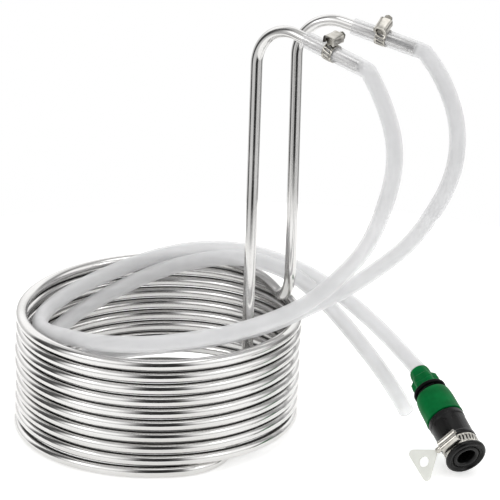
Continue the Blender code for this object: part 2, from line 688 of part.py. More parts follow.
def adaptor_pieces(s, axis):
    stem = NIPPLE_RADIUS - 0.5 * MM
    flange = BARREL_RADIUS - 0.5 * MM
    ring_groove, ring_wire = NIPPLE_RADIUS - 2.0 * MM, 0.85 * MM
    tip = s["socket"] + 0.7 * MM
    seal = tip + 4.2 * MM
    groove_low, groove_high = s["claw"] - 0.6 * MM, s["claw_end"] + 0.6 * MM
    front = s["barrel_end"] + 1 * MM
    stem_end = s["adaptor"] + STEM_LENGTH
    profile = [
        (tip, NIPPLE_BORE), (tip, NIPPLE_RADIUS - 0.8 * MM), (tip + 1 * MM, NIPPLE_RADIUS),
        (seal - 1.3 * MM, NIPPLE_RADIUS), (seal - 1.3 * MM, ring_groove),
        (seal + 1.3 * MM, ring_groove), (seal + 1.3 * MM, NIPPLE_RADIUS),
        (groove_low, NIPPLE_RADIUS), (groove_low, NIPPLE_RADIUS - 1.5 * MM),
        (groove_high, NIPPLE_RADIUS - 1.5 * MM), (groove_high, NIPPLE_RADIUS),
        (front, NIPPLE_RADIUS), (front, flange), (front + 2 * MM, flange), (front + 2 * MM, stem),
        (stem_end, stem), (stem_end, NIPPLE_BORE),
    ]
    turned("tap_nipple", profile, "black_plastic", axis)

    centre = ring_groove + 0.25 * MM + ring_wire
    loop = np.arange(6) * 2 * math.pi / 6
    profile = [(seal + ring_wire * math.sin(a), centre + ring_wire * math.cos(a)) for a in loop]
    turned("nipple_seal_ring", profile, "rubber", axis)

    hole = stem + CLEAR
    cavity = MOUTH_RADIUS + 2.9 * MM
    recess = cavity + 1.4 * MM
    mouth, lip = s["mouth"], s["mouth"] - LIP_LENGTH
    profile = [
        (s["adaptor"], hole), (s["adaptor"], ADAPTOR_RADIUS - 0.5 * MM),
        (s["adaptor"] + 0.5 * MM, ADAPTOR_RADIUS), (s["seat"], ADAPTOR_RADIUS),
        (s["seat"], SEAT_RADIUS), (lip, SEAT_RADIUS), (lip, LIP_RADIUS - 0.6 * MM),
        (lip + 0.8 * MM, LIP_RADIUS), (mouth - LIP_BEVEL, LIP_RADIUS),
        (mouth, LIP_RADIUS - 0.75 * LIP_BEVEL),
        (mouth, recess + 2 * MM), (mouth - 1.5 * MM, recess + 1.6 * MM), (mouth - 1.5 * MM, recess),
        (mouth - 3.5 * MM, recess), (mouth - 3.5 * MM, cavity),
        (stem_end + 2.2 * MM, cavity), (stem_end + 2.2 * MM, hole),
    ]
    turned("tap_adaptor", profile, "rubber", axis)

    low = stem_end + 2.6 * MM
    profile = [
        (low, MOUTH_RADIUS), (low, cavity - CLEAR), (mouth - 3.1 * MM, cavity - CLEAR),
        (mouth - 3.1 * MM, recess - CLEAR), (mouth - 1.6 * MM, recess - CLEAR),
        (mouth - 0.8 * MM, recess - 1.2 * MM), (mouth - 0.8 * MM, MOUTH_RADIUS + 1 * MM),
        (mouth - 1.6 * MM, MOUTH_RADIUS),
    ]
    turned("mouth_insert", profile, "rubber", axis)


def rounded_key(height, width, corner, arc_points=5):
    """Triangular key outline along X, with its narrow end at 0 and its wide end at the height."""
    slope = math.degrees(math.atan2(width / 2 - KEY_NARROW, height - 2 * corner))
    wide = width / 2 - corner
    arcs = [(corner, 0, 180, 270 + slope), (height - corner, -wide, 270 + slope, 360),
            (height - corner, wide, 0, 90 - slope), (corner, 0, 90 - slope, 180)]
    outline = []
    for x, y, low, high in arcs:
        for a in np.radians(np.linspace(low, high, arc_points)):
            outline.append((x + corner * math.cos(a), y + corner * math.sin(a)))
    seen = []
    for point in outline:
        if not seen or math.dist(point, seen[-1]) > SAME_POINT:
            seen.append(point)
    if math.dist(seen[0], seen[-1]) < SAME_POINT:
        seen.pop()
    return seen


def tap_clamp(s, connector):
    """Clamp round the adaptor, whose screw ends in a flat wing key."""
    roll = math.radians(TAP_CLAMP_ROLL)
    matrix = frame_matrix((0, 0, s["band"]), (0, 0, 1), (math.cos(roll), math.sin(roll), 0))
    axis = empty("tap_clamp_frame", matrix, connector)
    inner = SEAT_RADIUS + CLEAR
    sizes = clamp_sizes(inner, TAP_HOUSING_LENGTH)
    clamp_band("tap_clamp_band", inner, axis)
    clamp_housing("tap_clamp_housing", sizes, axis)
    clamp_screw("tap_clamp_screw", sizes, axis, TAP_HEAD_FLATS, HEAD_LENGTH)
    start = sizes["half"] + CLEAR + HEAD_LENGTH + CLEAR
    place = Matrix.Translation((sizes["worm"], 0, 0)) @ Matrix.Rotation(math.radians(90), 4, "Z")
    half = KEY_THICKNESS / 2
    outline = [(start + x, y) for x, y in rounded_key(KEY_HEIGHT, KEY_WIDTH, KEY_CORNER)]
    spin = Matrix.Rotation(math.radians(90 - KEY_TURN), 4, "X")
    key = extruded("wing_key", outline, -half, half, "key_plastic", axis, place @ spin)
    hole = [(start + KEY_HOLE_AT * KEY_HEIGHT + KEY_HOLE_RADIUS * math.cos(a),
             KEY_HOLE_RADIUS * math.sin(a)) for a in np.arange(14) * 2 * math.pi / 14]
    cutter = extruded("key_hole", hole, -2 * half, 2 * half, "key_plastic", axis, place @ spin)
    cut(key, cutter)


# --- Assembly -------------------------------------------------------------------------------------
def lowest_centre(names):
    """Middle of the pieces' box, seen from above."""
    bpy.context.view_layer.update()
    graph = bpy.context.evaluated_depsgraph_get()
    low, high = np.full(3, np.inf), np.full(3, -np.inf)
    for name in names:
        obj = bpy.data.objects[name].evaluated_get(graph)
        mesh = obj.to_mesh()
        points = np.array([tuple(obj.matrix_world @ v.co) for v in mesh.vertices])
        low, high = np.minimum(low, points.min(axis=0)), np.maximum(high, points.max(axis=0))
        obj.to_mesh_clear()
    return (low + high) / 2, low[2]


def build():
    clear_scene()
    frame = empty("chiller_frame", Matrix.Identity(4))

    points, ups, inlet, drain = bent_tube()
    corner = 1 / math.cos(math.pi / TUBE_SIDES)
    tube("coil_tube", points, ups, TUBE_RADIUS * corner, (TUBE_RADIUS - TUBE_WALL) * corner,
         "steel", frame)

    hose_cuff("inlet_hose_cuff", inlet, frame)
    hose_cuff("drain_hose_cuff", drain, frame)
    riser_clamp("inlet", inlet, INLET_CLAMP_ROLL, frame)
    riser_clamp("drain", drain, DRAIN_CLAMP_ROLL, frame)

    stations = connector_stations()
    matrix, entry, axis = connector_matrix(stations)
    connector = empty("tap_connector_frame", matrix, frame)
    grip_end = hose_end_pieces(stations, connector)
    body_pieces(stations, connector, grip_end)
    adaptor_pieces(stations, connector)
    tap_clamp(stations, connector)

    inlet_points, inlet_length = hose_points(inlet, INLET_ROUTE, entry, axis, HOSE_IN_NUT)
    hose("inlet_hose", inlet_points, frame)
    last = np.array(DRAIN_END) * MM
    last_axis = unit(last - np.array(DRAIN_ROUTE[-1]) * MM)
    drain_points, drain_length = hose_points(
        drain, DRAIN_ROUTE, last - last_axis * HOSE_LEAD, last_axis, HOSE_LEAD
    )
    hose("drain_hose", drain_points, frame)

    held = ["coil_tube"] + [
        f"{side}_clamp_{piece}" for side in ("inlet", "drain") for piece in ("band", "housing", "screw")
    ]
    middle, low = lowest_centre(held)
    frame.location = (-middle[0], -middle[1], -low)
    bpy.context.view_layer.update()
    print("hose lengths past the steel tube:", round(inlet_length, 4), round(drain_length, 4))


build()
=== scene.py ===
# %% [markdown]
# # An immersion wort chiller
#
# Ten turns of bright steel tube stand in a pot of hot wort, and cold water runs through them. The packed
# model gives the sizes and the moving bodies. This script dresses it: one smooth tube for the coil, two
# milky hoses, worm-drive clamps with cut threads, and a snap-on tap connector in green and black.

# %% The frame
import json
import math

import bpy
import numpy as np
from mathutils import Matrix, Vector

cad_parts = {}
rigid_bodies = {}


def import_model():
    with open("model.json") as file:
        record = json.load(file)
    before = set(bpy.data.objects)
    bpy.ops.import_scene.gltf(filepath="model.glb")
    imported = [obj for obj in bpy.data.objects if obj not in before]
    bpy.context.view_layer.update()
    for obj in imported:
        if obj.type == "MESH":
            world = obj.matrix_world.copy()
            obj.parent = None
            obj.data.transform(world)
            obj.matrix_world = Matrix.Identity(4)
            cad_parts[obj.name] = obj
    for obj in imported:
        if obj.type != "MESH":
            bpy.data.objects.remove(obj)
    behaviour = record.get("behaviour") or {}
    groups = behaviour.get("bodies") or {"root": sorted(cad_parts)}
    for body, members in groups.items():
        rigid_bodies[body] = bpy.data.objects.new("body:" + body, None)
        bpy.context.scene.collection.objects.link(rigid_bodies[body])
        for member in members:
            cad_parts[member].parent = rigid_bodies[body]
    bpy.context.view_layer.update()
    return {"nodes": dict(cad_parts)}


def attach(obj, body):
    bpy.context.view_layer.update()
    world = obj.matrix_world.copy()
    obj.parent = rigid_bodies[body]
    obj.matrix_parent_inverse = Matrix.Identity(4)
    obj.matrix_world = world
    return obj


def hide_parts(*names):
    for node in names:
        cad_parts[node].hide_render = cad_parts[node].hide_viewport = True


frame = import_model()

MM = 0.001
print("pieces in the packed model:", len(frame["nodes"]))

# %% [markdown]
# The steel's own box is centred on the origin, but the risers lean out to one side, so the coil's axis
# stands to the left of it. Every place below is first worked out from the coil's axis, in millimetres.

# %% The coil's axis
COIL_AXIS = np.array([-47.249, -0.008, 0.0])


def placed(points):
    """Points in millimetres from the coil's axis at the floor, as metres in the model's frame."""
    return (np.asarray(points, float) + COIL_AXIS) * MM


print("the coil's axis:", COIL_AXIS, "mm")

# %% [markdown]
# The camera stands far back with a long lens, so the coil's near and far sides are almost the same size.
# It looks down by about twenty degrees, enough to see into the coil.

# %% Camera
LOOK_AT = placed([79.7, 0.0, 153.7])
DISTANCE = 2.5
LOOK_DOWN = math.radians(20.54)
SENSOR_WIDTH, LONG_LENS = 36, 217.2  # millimetres
camera_data = bpy.data.cameras.new("camera")
camera_data.sensor_width = SENSOR_WIDTH
camera_data.lens = LONG_LENS
camera = bpy.data.objects.new("camera", camera_data)
bpy.context.scene.collection.objects.link(camera)
back = Vector((0, -math.cos(LOOK_DOWN), math.sin(LOOK_DOWN)))
camera.location = Vector(LOOK_AT) + back * DISTANCE
camera.rotation_euler = back.to_track_quat("Z", "Y").to_euler()
camera_data.clip_start, camera_data.clip_end = 0.05, 30
bpy.context.scene.camera = camera
print("camera at", [round(x, 3) for x in camera.location])

# %% [markdown]
# A surface here is a grid of points: one way runs along the piece and the other runs round it. The same
# helper turns any such grid into a mesh. It keeps a UV map in millimetres, so that a pattern can follow
# the piece at its real size.


# %% From a grid to a mesh
def grid_faces(rows, columns, close_rows, close_columns):
    """Corner numbers of every cell of a grid, wrapped round where it is closed."""
    i = np.arange(rows if close_rows else rows - 1)[:, None]
    j = np.arange(columns if close_columns else columns - 1)[None, :]
    up, right = (i + 1) % rows, (j + 1) % columns
    cells = [i * columns + j, i * columns + right, up * columns + right, up * columns + j]
    return np.stack([np.broadcast_to(c, (i.size, j.size)) for c in cells], axis=-1).reshape(-1, 4)


def facing_out(points, faces):
    """The faces, turned over if the volume that they enclose is negative. The volume is the sum over
    the faces of the first corner dotted with the cross product of the diagonals, over six."""
    a, b, c, d = (points[faces[:, k]] for k in range(4))
    volume = np.einsum("ij,ij->", a, np.cross(b, c) + np.cross(c, d))
    return faces if volume > 0 else faces[:, ::-1]


def new_piece(name, points, faces, finish, body, uv=None, ngons=(), sharp=40):
    """A mesh object at the origin that rides on a body. Points are in metres."""
    mesh = bpy.data.meshes.new(name)
    mesh.from_pydata(points.reshape(-1, 3), [], [*faces.tolist(), *[list(map(int, n)) for n in ngons]])
    mesh.shade_smooth()
    mesh.set_sharp_from_angle(angle=math.radians(sharp))
    if uv is not None:
        corners = np.empty(len(mesh.loops), np.int32)
        mesh.loops.foreach_get("vertex_index", corners)
        layer = mesh.uv_layers.new(name="UVMap")
        layer.data.foreach_set("uv", uv.reshape(-1, 2)[corners].astype(np.float32).ravel())
    mesh.materials.append(finish)
    piece = bpy.data.objects.new(name, mesh)
    bpy.context.scene.collection.objects.link(piece)
    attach(piece, body)
    print(f"{name}: {len(mesh.polygons)} faces")
    return piece


def grid_piece(name, grid, finish, body, close_rows=False, close_columns=True, uv=None, sharp=40):
    """A closed surface from a grid of points."""
    rows, columns = grid.shape[:2]
    faces = facing_out(grid.reshape(-1, 3), grid_faces(rows, columns, close_rows, close_columns))
    return new_piece(name, grid, faces, finish, body, uv, sharp=sharp)


# %% [markdown]
# A material starts from the real one's name and the way it was made. Colours are written as they look on
# a screen, so one function turns them to linear light, and one function adds a node with its settings.


# %% Colour
def linear(code, alpha=1.0):
    """A screen colour such as c0ffee in linear light: a power curve, straight near black."""
    parts = [int(code[k : k + 2], 16) / 255 for k in (0, 2, 4)]
    return (*[c / 12.92 if c <= 0.04045 else ((c + 0.055) / 1.055) ** 2.4 for c in parts], alpha)


# %% Nodes
def add(tree, kind, settings=(), stops=(), **sockets):
    """Adds a node. Settings are its properties, and stops are a colour ramp's places and colours.
    Each socket, by its name or its number, gets a value, or a link from another node's output."""
    node = tree.nodes.new("ShaderNode" + kind)
    for key, value in dict(settings).items():
        setattr(node, key, value)
    for number, (place, colour) in enumerate(stops):
        element = node.color_ramp.elements[number]
        element.position, element.color = place, colour
    for key, value in sockets.items():
        socket = node.inputs[int(key[1:])] if key[1:].isdigit() else node.inputs[key.replace("_", " ")]
        if isinstance(value, bpy.types.NodeSocket):
            tree.links.new(value, socket)
        else:
            socket.default_value = value
    return node


def new_finish(name):
    """An empty material with its tree, its shader and its texture coordinates."""
    material = bpy.data.materials.new(name)
    material.use_nodes = True
    tree = material.node_tree
    tree.nodes.clear()
    shader = add(tree, "BsdfPrincipled")
    out = add(tree, "OutputMaterial")
    tree.links.new(shader.outputs["BSDF"], out.inputs["Surface"])
    return material, tree, shader, add(tree, "TexCoord")

# %% [markdown]
# **Bright drawn stainless tube.** The tube is drawn through a die and left bright, so it mirrors the room
# with very fine lines along its length. A noise that is stretched along the tube gives the lines, and a
# slow one gives the faint waviness of hand-wound tube.


# %% Stainless tube
def bright_tube():
    """Bright drawn stainless steel: neutral grey, near a mirror, with fine lines along the tube."""
    material, tree, shader, coords = new_finish("bright_drawn_stainless")
    along = add(tree, "Mapping", Vector=coords.outputs["UV"], Scale=(0.02, 1.6, 1.0))
    lines = add(tree, "TexNoise", Vector=along.outputs["Vector"], Scale=1.0, Detail=4.0)
    handling = add(tree, "TexNoise", Vector=coords.outputs["Object"], Scale=45.0, Detail=3.0)
    slow = add(tree, "TexNoise", Vector=coords.outputs["Object"], Scale=14.0, Detail=1.0)
    shader.inputs["Metallic"].default_value = 1.0
    stops = [(0.3, linear("c9c8c6")), (0.7, linear("d9d8d7"))]
    tone = add(tree, "ValToRGB", stops=stops, Fac=slow.outputs["Fac"])
    # Painted shade: a dark line on the base colour between the turns, where shade falls.
    shade_between_turns = add(tree, "Attribute", {"attribute_name": "shade_between_turns"})
    painted_shade = add(tree, "Mix", {"data_type": "RGBA"}, Factor=shade_between_turns.outputs["Fac"],
               _6=tone.outputs["Color"], _7=linear("3a3a39"))
    tree.links.new(painted_shade.outputs[2], shader.inputs["Base Color"])
    rough = add(tree, "MapRange", _0=handling.outputs["Fac"], _1=0.3, _2=0.7, _3=0.09, _4=0.20)
    tree.links.new(rough.outputs["Result"], shader.inputs["Roughness"])
    fine = add(tree, "Bump", Strength=0.10, Distance=0.00004, Height=lines.outputs["Fac"])
    tree.links.new(fine.outputs["Normal"], shader.inputs["Normal"])
    return material


STEEL = bright_tube()
print(STEEL.name)

# %% [markdown]
# **Milky silicone hose.** The wall lets light through but scatters it, so steel inside is seen as through
# a thin fog. A wall that is seen edge-on is longer to look through, so it is denser there. Part of the
# surface is simply see-through, which keeps the steel inside sharp enough.


# %% Silicone hose
HOSE_OVERLAP = 55.0  # millimetres of hose that are pushed over the steel tube


def milky_silicone():
    """Extruded silicone rubber: milky, low in gloss, see-through in part, denser where it is edge-on."""
    material, tree, shader, coords = new_finish("milky_silicone")
    cloud = add(tree, "TexNoise", Vector=coords.outputs["Object"], Scale=60.0, Detail=3.0)
    along = add(tree, "Mapping", Vector=coords.outputs["UV"], Scale=(0.03, 0.9, 1.0))
    lines = add(tree, "TexNoise", Vector=along.outputs["Vector"], Scale=1.0, Detail=3.0)
    stops = [(0.35, linear("eeeeef")), (0.65, linear("f5f5f6"))]
    tone = add(tree, "ValToRGB", stops=stops, Fac=cloud.outputs["Fac"])
    tree.links.new(tone.outputs["Color"], shader.inputs["Base Color"])
    rough = add(tree, "MapRange", _0=cloud.outputs["Fac"], _1=0.3, _2=0.7, _3=0.45, _4=0.58)
    tree.links.new(rough.outputs["Result"], shader.inputs["Roughness"])
    shader.inputs["IOR"].default_value = 1.41
    shader.inputs["Specular IOR Level"].default_value = 0.15
    # The UV map's first axis is the distance along the hose in millimetres. On the steel tube the wall
    # is stretched and wetted against it, so it clears.
    where = add(tree, "SeparateXYZ", Vector=coords.outputs["UV"])
    past_tube = add(tree, "MapRange", _0=where.outputs["X"], _1=HOSE_OVERLAP - 1.0, _2=HOSE_OVERLAP + 3.0)
    edge = add(tree, "LayerWeight", Blend=0.35)
    free, tight = (add(tree, "MapRange", _0=edge.outputs["Facing"], _3=low, _4=high).outputs["Result"]
                   for low, high in ((0.42, 0.66), (0.20, 0.52)))
    dense = add(tree, "Mix", {"data_type": "FLOAT"}, Factor=past_tube.outputs["Result"], _2=tight, _3=free)
    tree.links.new(dense.outputs[0], shader.inputs["Alpha"])
    fine = add(tree, "Bump", Strength=0.05, Distance=0.00006, Height=lines.outputs["Fac"])
    tree.links.new(fine.outputs["Normal"], shader.inputs["Normal"])
    return material


HOSE = milky_silicone()
print(HOSE.name)

# %% [markdown]
# **Plated clamp steel** is rolled, stamped and plated, so it is bright with a slight warm tint and tiny
# dimples. **Moulded plastics** come from spark-eroded moulds, which leave a satin skin with a fine grain.
# **Rubber** is softer in its shine, with a little dust. They differ only in colour, in roughness and in
# how coarse the grain is, so one function makes them all.


# %% Metals, plastics and rubber
def grained(name, tones, roughness, fine, slow, bump, metallic=0.0, shine=0.5):
    """A skin from a roller or a mould. The slow noise moves the tone and the roughness between their
    two values, and the fine one dimples the surface. A noise is its scale per metre and its detail."""
    material, tree, shader, coords = new_finish(name)
    dimples, patches = (
        add(tree, "TexNoise", Vector=coords.outputs["Object"], Scale=scale, Detail=detail).outputs["Fac"]
        for scale, detail in (fine, slow)
    )
    stops = [(place, linear(tone)) for place, tone in zip((0.3, 0.7), tones)]
    tone = add(tree, "ValToRGB", stops=stops, Fac=patches)
    tree.links.new(tone.outputs["Color"], shader.inputs["Base Color"])
    rough = add(tree, "MapRange", _0=patches, _1=0.3, _2=0.7, _3=roughness[0], _4=roughness[1])
    tree.links.new(rough.outputs["Result"], shader.inputs["Roughness"])
    shader.inputs["Metallic"].default_value = metallic
    shader.inputs["Specular IOR Level"].default_value = shine
    relief = add(tree, "Bump", Strength=bump[0], Distance=bump[1], Height=dimples)
    tree.links.new(relief.outputs["Normal"], shader.inputs["Normal"])
    return material


# %% [markdown]
# Dimples from a roller are about 1 mm apart, and the grain of a mould about 1.5 mm. Both are finer on the
# real pieces, and are drawn this coarse so that they show.

# %% Finishes
ROLLED = {"fine": (900.0, 3.0), "slow": (160.0, 4.0), "bump": (0.25, 0.00005), "metallic": 1.0}
MOULD = {"fine": (700.0, 4.0), "slow": (90.0, 3.0), "bump": (0.25, 0.00008)}
SMOOTH_MOULD = {**MOULD, "bump": (0.15, 0.00008)}
RUBBER_MOULD = {**MOULD, "fine": (1100.0, 4.0), "bump": (0.2, 0.00008)}
# The band and housings: rolled strip, zinc plated, bright with a warm tint.
STRIP = grained("plated_strip_steel", ("a6a39c", "cbc8c1"), (0.12, 0.26), **ROLLED)
# The riser clamps' screws: turned bar, thinly plated, greyer and duller than the strip.
SCREW = grained("plated_screw_steel", ("6f6c66", "98958d"), (0.20, 0.34), **ROLLED)
# The sleeve's spring: hard-drawn wire with an oil film, almost black.
SPRING_WIRE = grained("oiled_spring_wire", ("202020", "343434"), (0.35, 0.5), **ROLLED)
# The nut and the sleeve: injection-moulded ABS, deep green all through, satin.
GREEN = grained("moulded_green_abs", ("005a2a", "007037"), (0.36, 0.46), shine=0.06, **MOULD)
# The connector's body, its stop ring and the barbed stem: the same plastic in black.
BLACK = grained("moulded_black_abs", ("060607", "0e0e0f"), (0.30, 0.40), shine=0.07, **MOULD)
# The tap sleeve and the seals: compression-moulded rubber, glossier where hands have rubbed it.
RUBBER = grained("black_rubber", ("080808", "111111"), (0.22, 0.34), shine=0.22, **RUBBER_MOULD)
# The lock claws: acetal with no dye, milky white and slippery.
ACETAL = grained("natural_acetal", ("d8d8d2", "e6e6e0"), (0.35, 0.45), shine=0.2, **MOULD)
# The wing key: nylon with no dye, slightly green-grey, with a smoother skin than the ABS.
KEY = grained("pale_nylon_key", ("dfe0d9", "e9eae4"), (0.30, 0.40), shine=0.2, **SMOOTH_MOULD)
print("finishes:", len(bpy.data.materials))

# %% [markdown]
# The centreline of the steel tube is made the way the tube is bent. The coil is a helix, and straight
# runs with rounded corners join it to the two risers. A corner is an arc that touches both runs.

# %% Tube sizes, in millimetres
TUBE_RADIUS, TUBE_BORE = 4.75, 4.15
COIL_RADIUS, COIL_PITCH, COIL_LEAN = 115.0, 10.4, 0.040
COIL_START, COIL_END, WHOLE_TURNS = 282.0, 16.0, 9
FOOT_ARC, FIRST_RISE = 200.0, 9.8
TOP_TUCK, TOP_TUCK_ARC = 12.0, 50.0
RISER_RADIUS, RISER_ANGLE, INWARD_RUN, INWARD_RADIUS = 88.4, -32.1, 24.4, 45.0
BEND_RADIUS, OUTLET_DROP, OUTLET_STRAIGHT = 33.0, 12.7, 63.0
INLET = {"apex": 361.0, "lean": 0.031, "swing": -39.2}
DRAIN = {"apex": 356.0, "lean": 0.023, "swing": -24.4}
COIL_DEGREES = COIL_START - COIL_END + 360 * WHOLE_TURNS
print("turns:", round(COIL_DEGREES / 360, 2))


# %% Paths
def unit(v):
    """Vectors divided by their lengths."""
    return v / np.linalg.norm(v, axis=-1, keepdims=True)


def walk(path):
    """The distance from a path's start to each of its points: the running sum of its steps' lengths."""
    return np.concatenate([[0], np.cumsum(np.linalg.norm(np.diff(path, axis=0), axis=1))])


def coil_path(per_turn=96):
    """The wound coil. Going back by an angle along the tube turns it clockwise, and lifts it by the
    pitch per turn after a level stretch that it stands on. Each turn strays by a third of a
    millimetre, as hand-wound turns do."""
    back = np.linspace(0, COIL_DEGREES, round(COIL_DEGREES / 360 * per_turn))
    first = FIRST_RISE * np.clip((back - FOOT_ARC) / (360 - FOOT_ARC), 0, 1)
    rise = first + COIL_PITCH * np.clip(back - 360, 0, None) / 360
    share = np.clip(1 - (COIL_DEGREES - back) / TOP_TUCK_ARC, 0, 1)
    ends = np.clip(back / 90, 0, 1) * np.clip((COIL_DEGREES - back) / 90, 0, 1)
    turns = np.radians(back)
    stray = 0.35 * ends * (np.sin(turns * 0.83) + 0.6 * np.sin(turns * 1.31 + 1.0))
    radius = COIL_RADIUS - TOP_TUCK * share * share * (3 - 2 * share) + stray
    angle = np.radians(COIL_START) - turns
    z = TUBE_RADIUS + rise
    return np.stack([radius * np.cos(angle) + COIL_LEAN * z, radius * np.sin(angle), z], axis=1)


def rounded_corners(corners, radii, step=4.0):
    """A path through the corners. Each inner corner becomes an arc that touches both runs: the arc
    starts a radius times the tangent of half the turn before the corner."""
    path = [corners[0][None]]
    for before, corner, after, radius in zip(corners, corners[1:], corners[2:], radii):
        a, b = unit(corner - before), unit(after - corner)
        turn = math.acos(np.clip(a @ b, -1, 1))
        inward = unit(b - a * (a @ b))
        centre = corner - a * radius * math.tan(turn / 2) + inward * radius
        t = np.linspace(0, turn, max(3, math.ceil(math.degrees(turn) / step)))[:, None]
        path.append(centre - inward * radius * np.cos(t) + a * radius * np.sin(t))
    path.append(corners[-1][None])
    return np.vstack(path)


def heading(degrees, drop=0.0):
    """The direction at an angle round from the right, sloping down by the drop, in degrees."""
    a, d = math.radians(degrees), math.radians(drop)
    return np.array([math.cos(a) * math.cos(d), math.sin(a) * math.cos(d), -math.sin(d)])


def riser(base, kind):
    """The corner above a riser's base, its outlet's end and the outlet's direction."""
    axis = heading(kind["swing"], OUTLET_DROP)
    reach = BEND_RADIUS * math.tan(math.radians(90 + OUTLET_DROP) / 2)
    height = kind["apex"] - BEND_RADIUS + reach
    top = np.array([base[0] + kind["lean"] * (height - base[2]), base[1], height])
    return top, top + axis * (reach + OUTLET_STRAIGHT), axis


coil = coil_path()
leave = math.radians(COIL_START)
knee = coil[0] + np.array([-math.sin(leave), math.cos(leave), 0]) * INWARD_RUN
spot = math.radians(RISER_ANGLE)
foot = np.array([RISER_RADIUS * math.cos(spot), RISER_RADIUS * math.sin(spot), TUBE_RADIUS])
top, inlet_end, inlet_axis = riser(foot, INLET)
inlet_path = rounded_corners([coil[0], knee, foot, top, inlet_end],
                             [INWARD_RADIUS, BEND_RADIUS, BEND_RADIUS])
leave = math.radians(COIL_END)
foot = coil[-1] + np.array([math.sin(leave), -math.cos(leave), 0]) * BEND_RADIUS * 1.02
top, drain_end, drain_axis = riser(foot, DRAIN)
drain_path = rounded_corners([coil[-1], foot, top, drain_end], [BEND_RADIUS, BEND_RADIUS])
tube_path = np.vstack([inlet_path[:0:-1], coil, drain_path[1:]])
print("steel tube:", round(walk(tube_path)[-1] * MM, 2), "m")

# %% [markdown]
# A tube is a ring carried along a path. A ring must not spin as it goes, so each one takes the last
# one's side direction, made square to the new heading. Going out along the outside and back along the
# bore gives one closed skin with a rounded rim at both ends.


# %% A ring carried along a path
def carried_sides(path):
    """For each point, the heading and two directions square to it, with no twist along the path."""
    steps = unit(np.diff(path, axis=0))
    ahead = unit(np.vstack([steps[:1], steps[:-1] + steps[1:], steps[-1:]]))
    side = unit(np.cross(ahead[0], (0.3, 0.2, 1.0)))
    sides = []
    for heading_here in ahead:
        side = unit(side - heading_here * (side @ heading_here))
        sides.append(side)
    sides = np.array(sides)
    return ahead, sides, np.cross(ahead, sides)


# %% The skin of a hollow tube
def skin(path, outer, bore, around=24, rim=0.3):
    """Grid of a hollow tube in millimetres, and its UV map. Rows run along the outside, over a
    rounded rim, and back along the bore. A row is the path's point plus the radius times the cosine
    of the angle along one side direction and the sine along the other."""
    ahead, side, other = carried_sides(path)
    walked = walk(path)
    outer = np.broadcast_to(np.asarray(outer, float), walked.shape)
    bore = np.broadcast_to(np.asarray(bore, float), walked.shape)
    rows = np.concatenate([np.arange(len(path)), np.arange(len(path))[::-1]])
    radius = np.concatenate([outer, bore[::-1]])
    last = len(path) - 1
    radius[[0, last]] -= rim
    radius[[last + 1, -1]] += rim
    angle = np.linspace(0, 2 * math.pi, around, endpoint=False)
    out = side[rows][:, None] * np.cos(angle)[None, :, None]
    out = out + other[rows][:, None] * np.sin(angle)[None, :, None]
    grid = path[rows][:, None] + out * radius[:, None, None]
    round_mm = np.broadcast_to(angle * radius.max(), (len(rows), around))
    uv = np.stack([np.broadcast_to(walked[rows][:, None], round_mm.shape), round_mm], axis=-1)
    return grid, uv, out


def with_rims(path, rim=0.3):
    """The path with a point just inside each end, where the rim's rounding starts."""
    first, last = unit(path[1] - path[0]), unit(path[-1] - path[-2])
    return np.vstack([path[:1], path[0] + first * rim, path[1:-1], path[-1] - last * rim, path[-1:]])


# %% [markdown]
# A soft dark line of painted shade is drawn between the turns, where shade falls. It is kept
# as a number at each point of the mesh, which the steel's finish reads.

# %% Coil and risers
rings = with_rims(tube_path)
grid, uv, out = skin(rings, TUBE_RADIUS, TUBE_BORE)
tube = grid_piece("coil_and_risers", placed(grid), STEEL, "chiller", close_rows=True, uv=uv, sharp=60)
# The painted shade between turns lies where a wound turn faces straight up or down at a neighbour: the
# lowest turn has none below it, and the top one none above.
turns = (np.arange(len(rings)) - len(inlet_path)) / (len(coil) - 1) * COIL_DEGREES / 360
last_turn = COIL_DEGREES / 360 - 1
above = ((turns > 0) & (turns < last_turn)).astype(float)
below = ((turns > 1) & (turns < last_turn + 1)).astype(float)
shade_between_turns = np.clip((out[: len(rings), :, 2] - 0.90) / 0.09, 0, 1) * above[:, None]
shade_between_turns += np.clip((-out[: len(rings), :, 2] - 0.90) / 0.09, 0, 1) * below[:, None]
shade_between_turns = np.concatenate([shade_between_turns, 0 * shade_between_turns])
tube.data.attributes.new("shade_between_turns", "FLOAT", "POINT").data.foreach_set("value", shade_between_turns.ravel())
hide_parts("coil_tube")
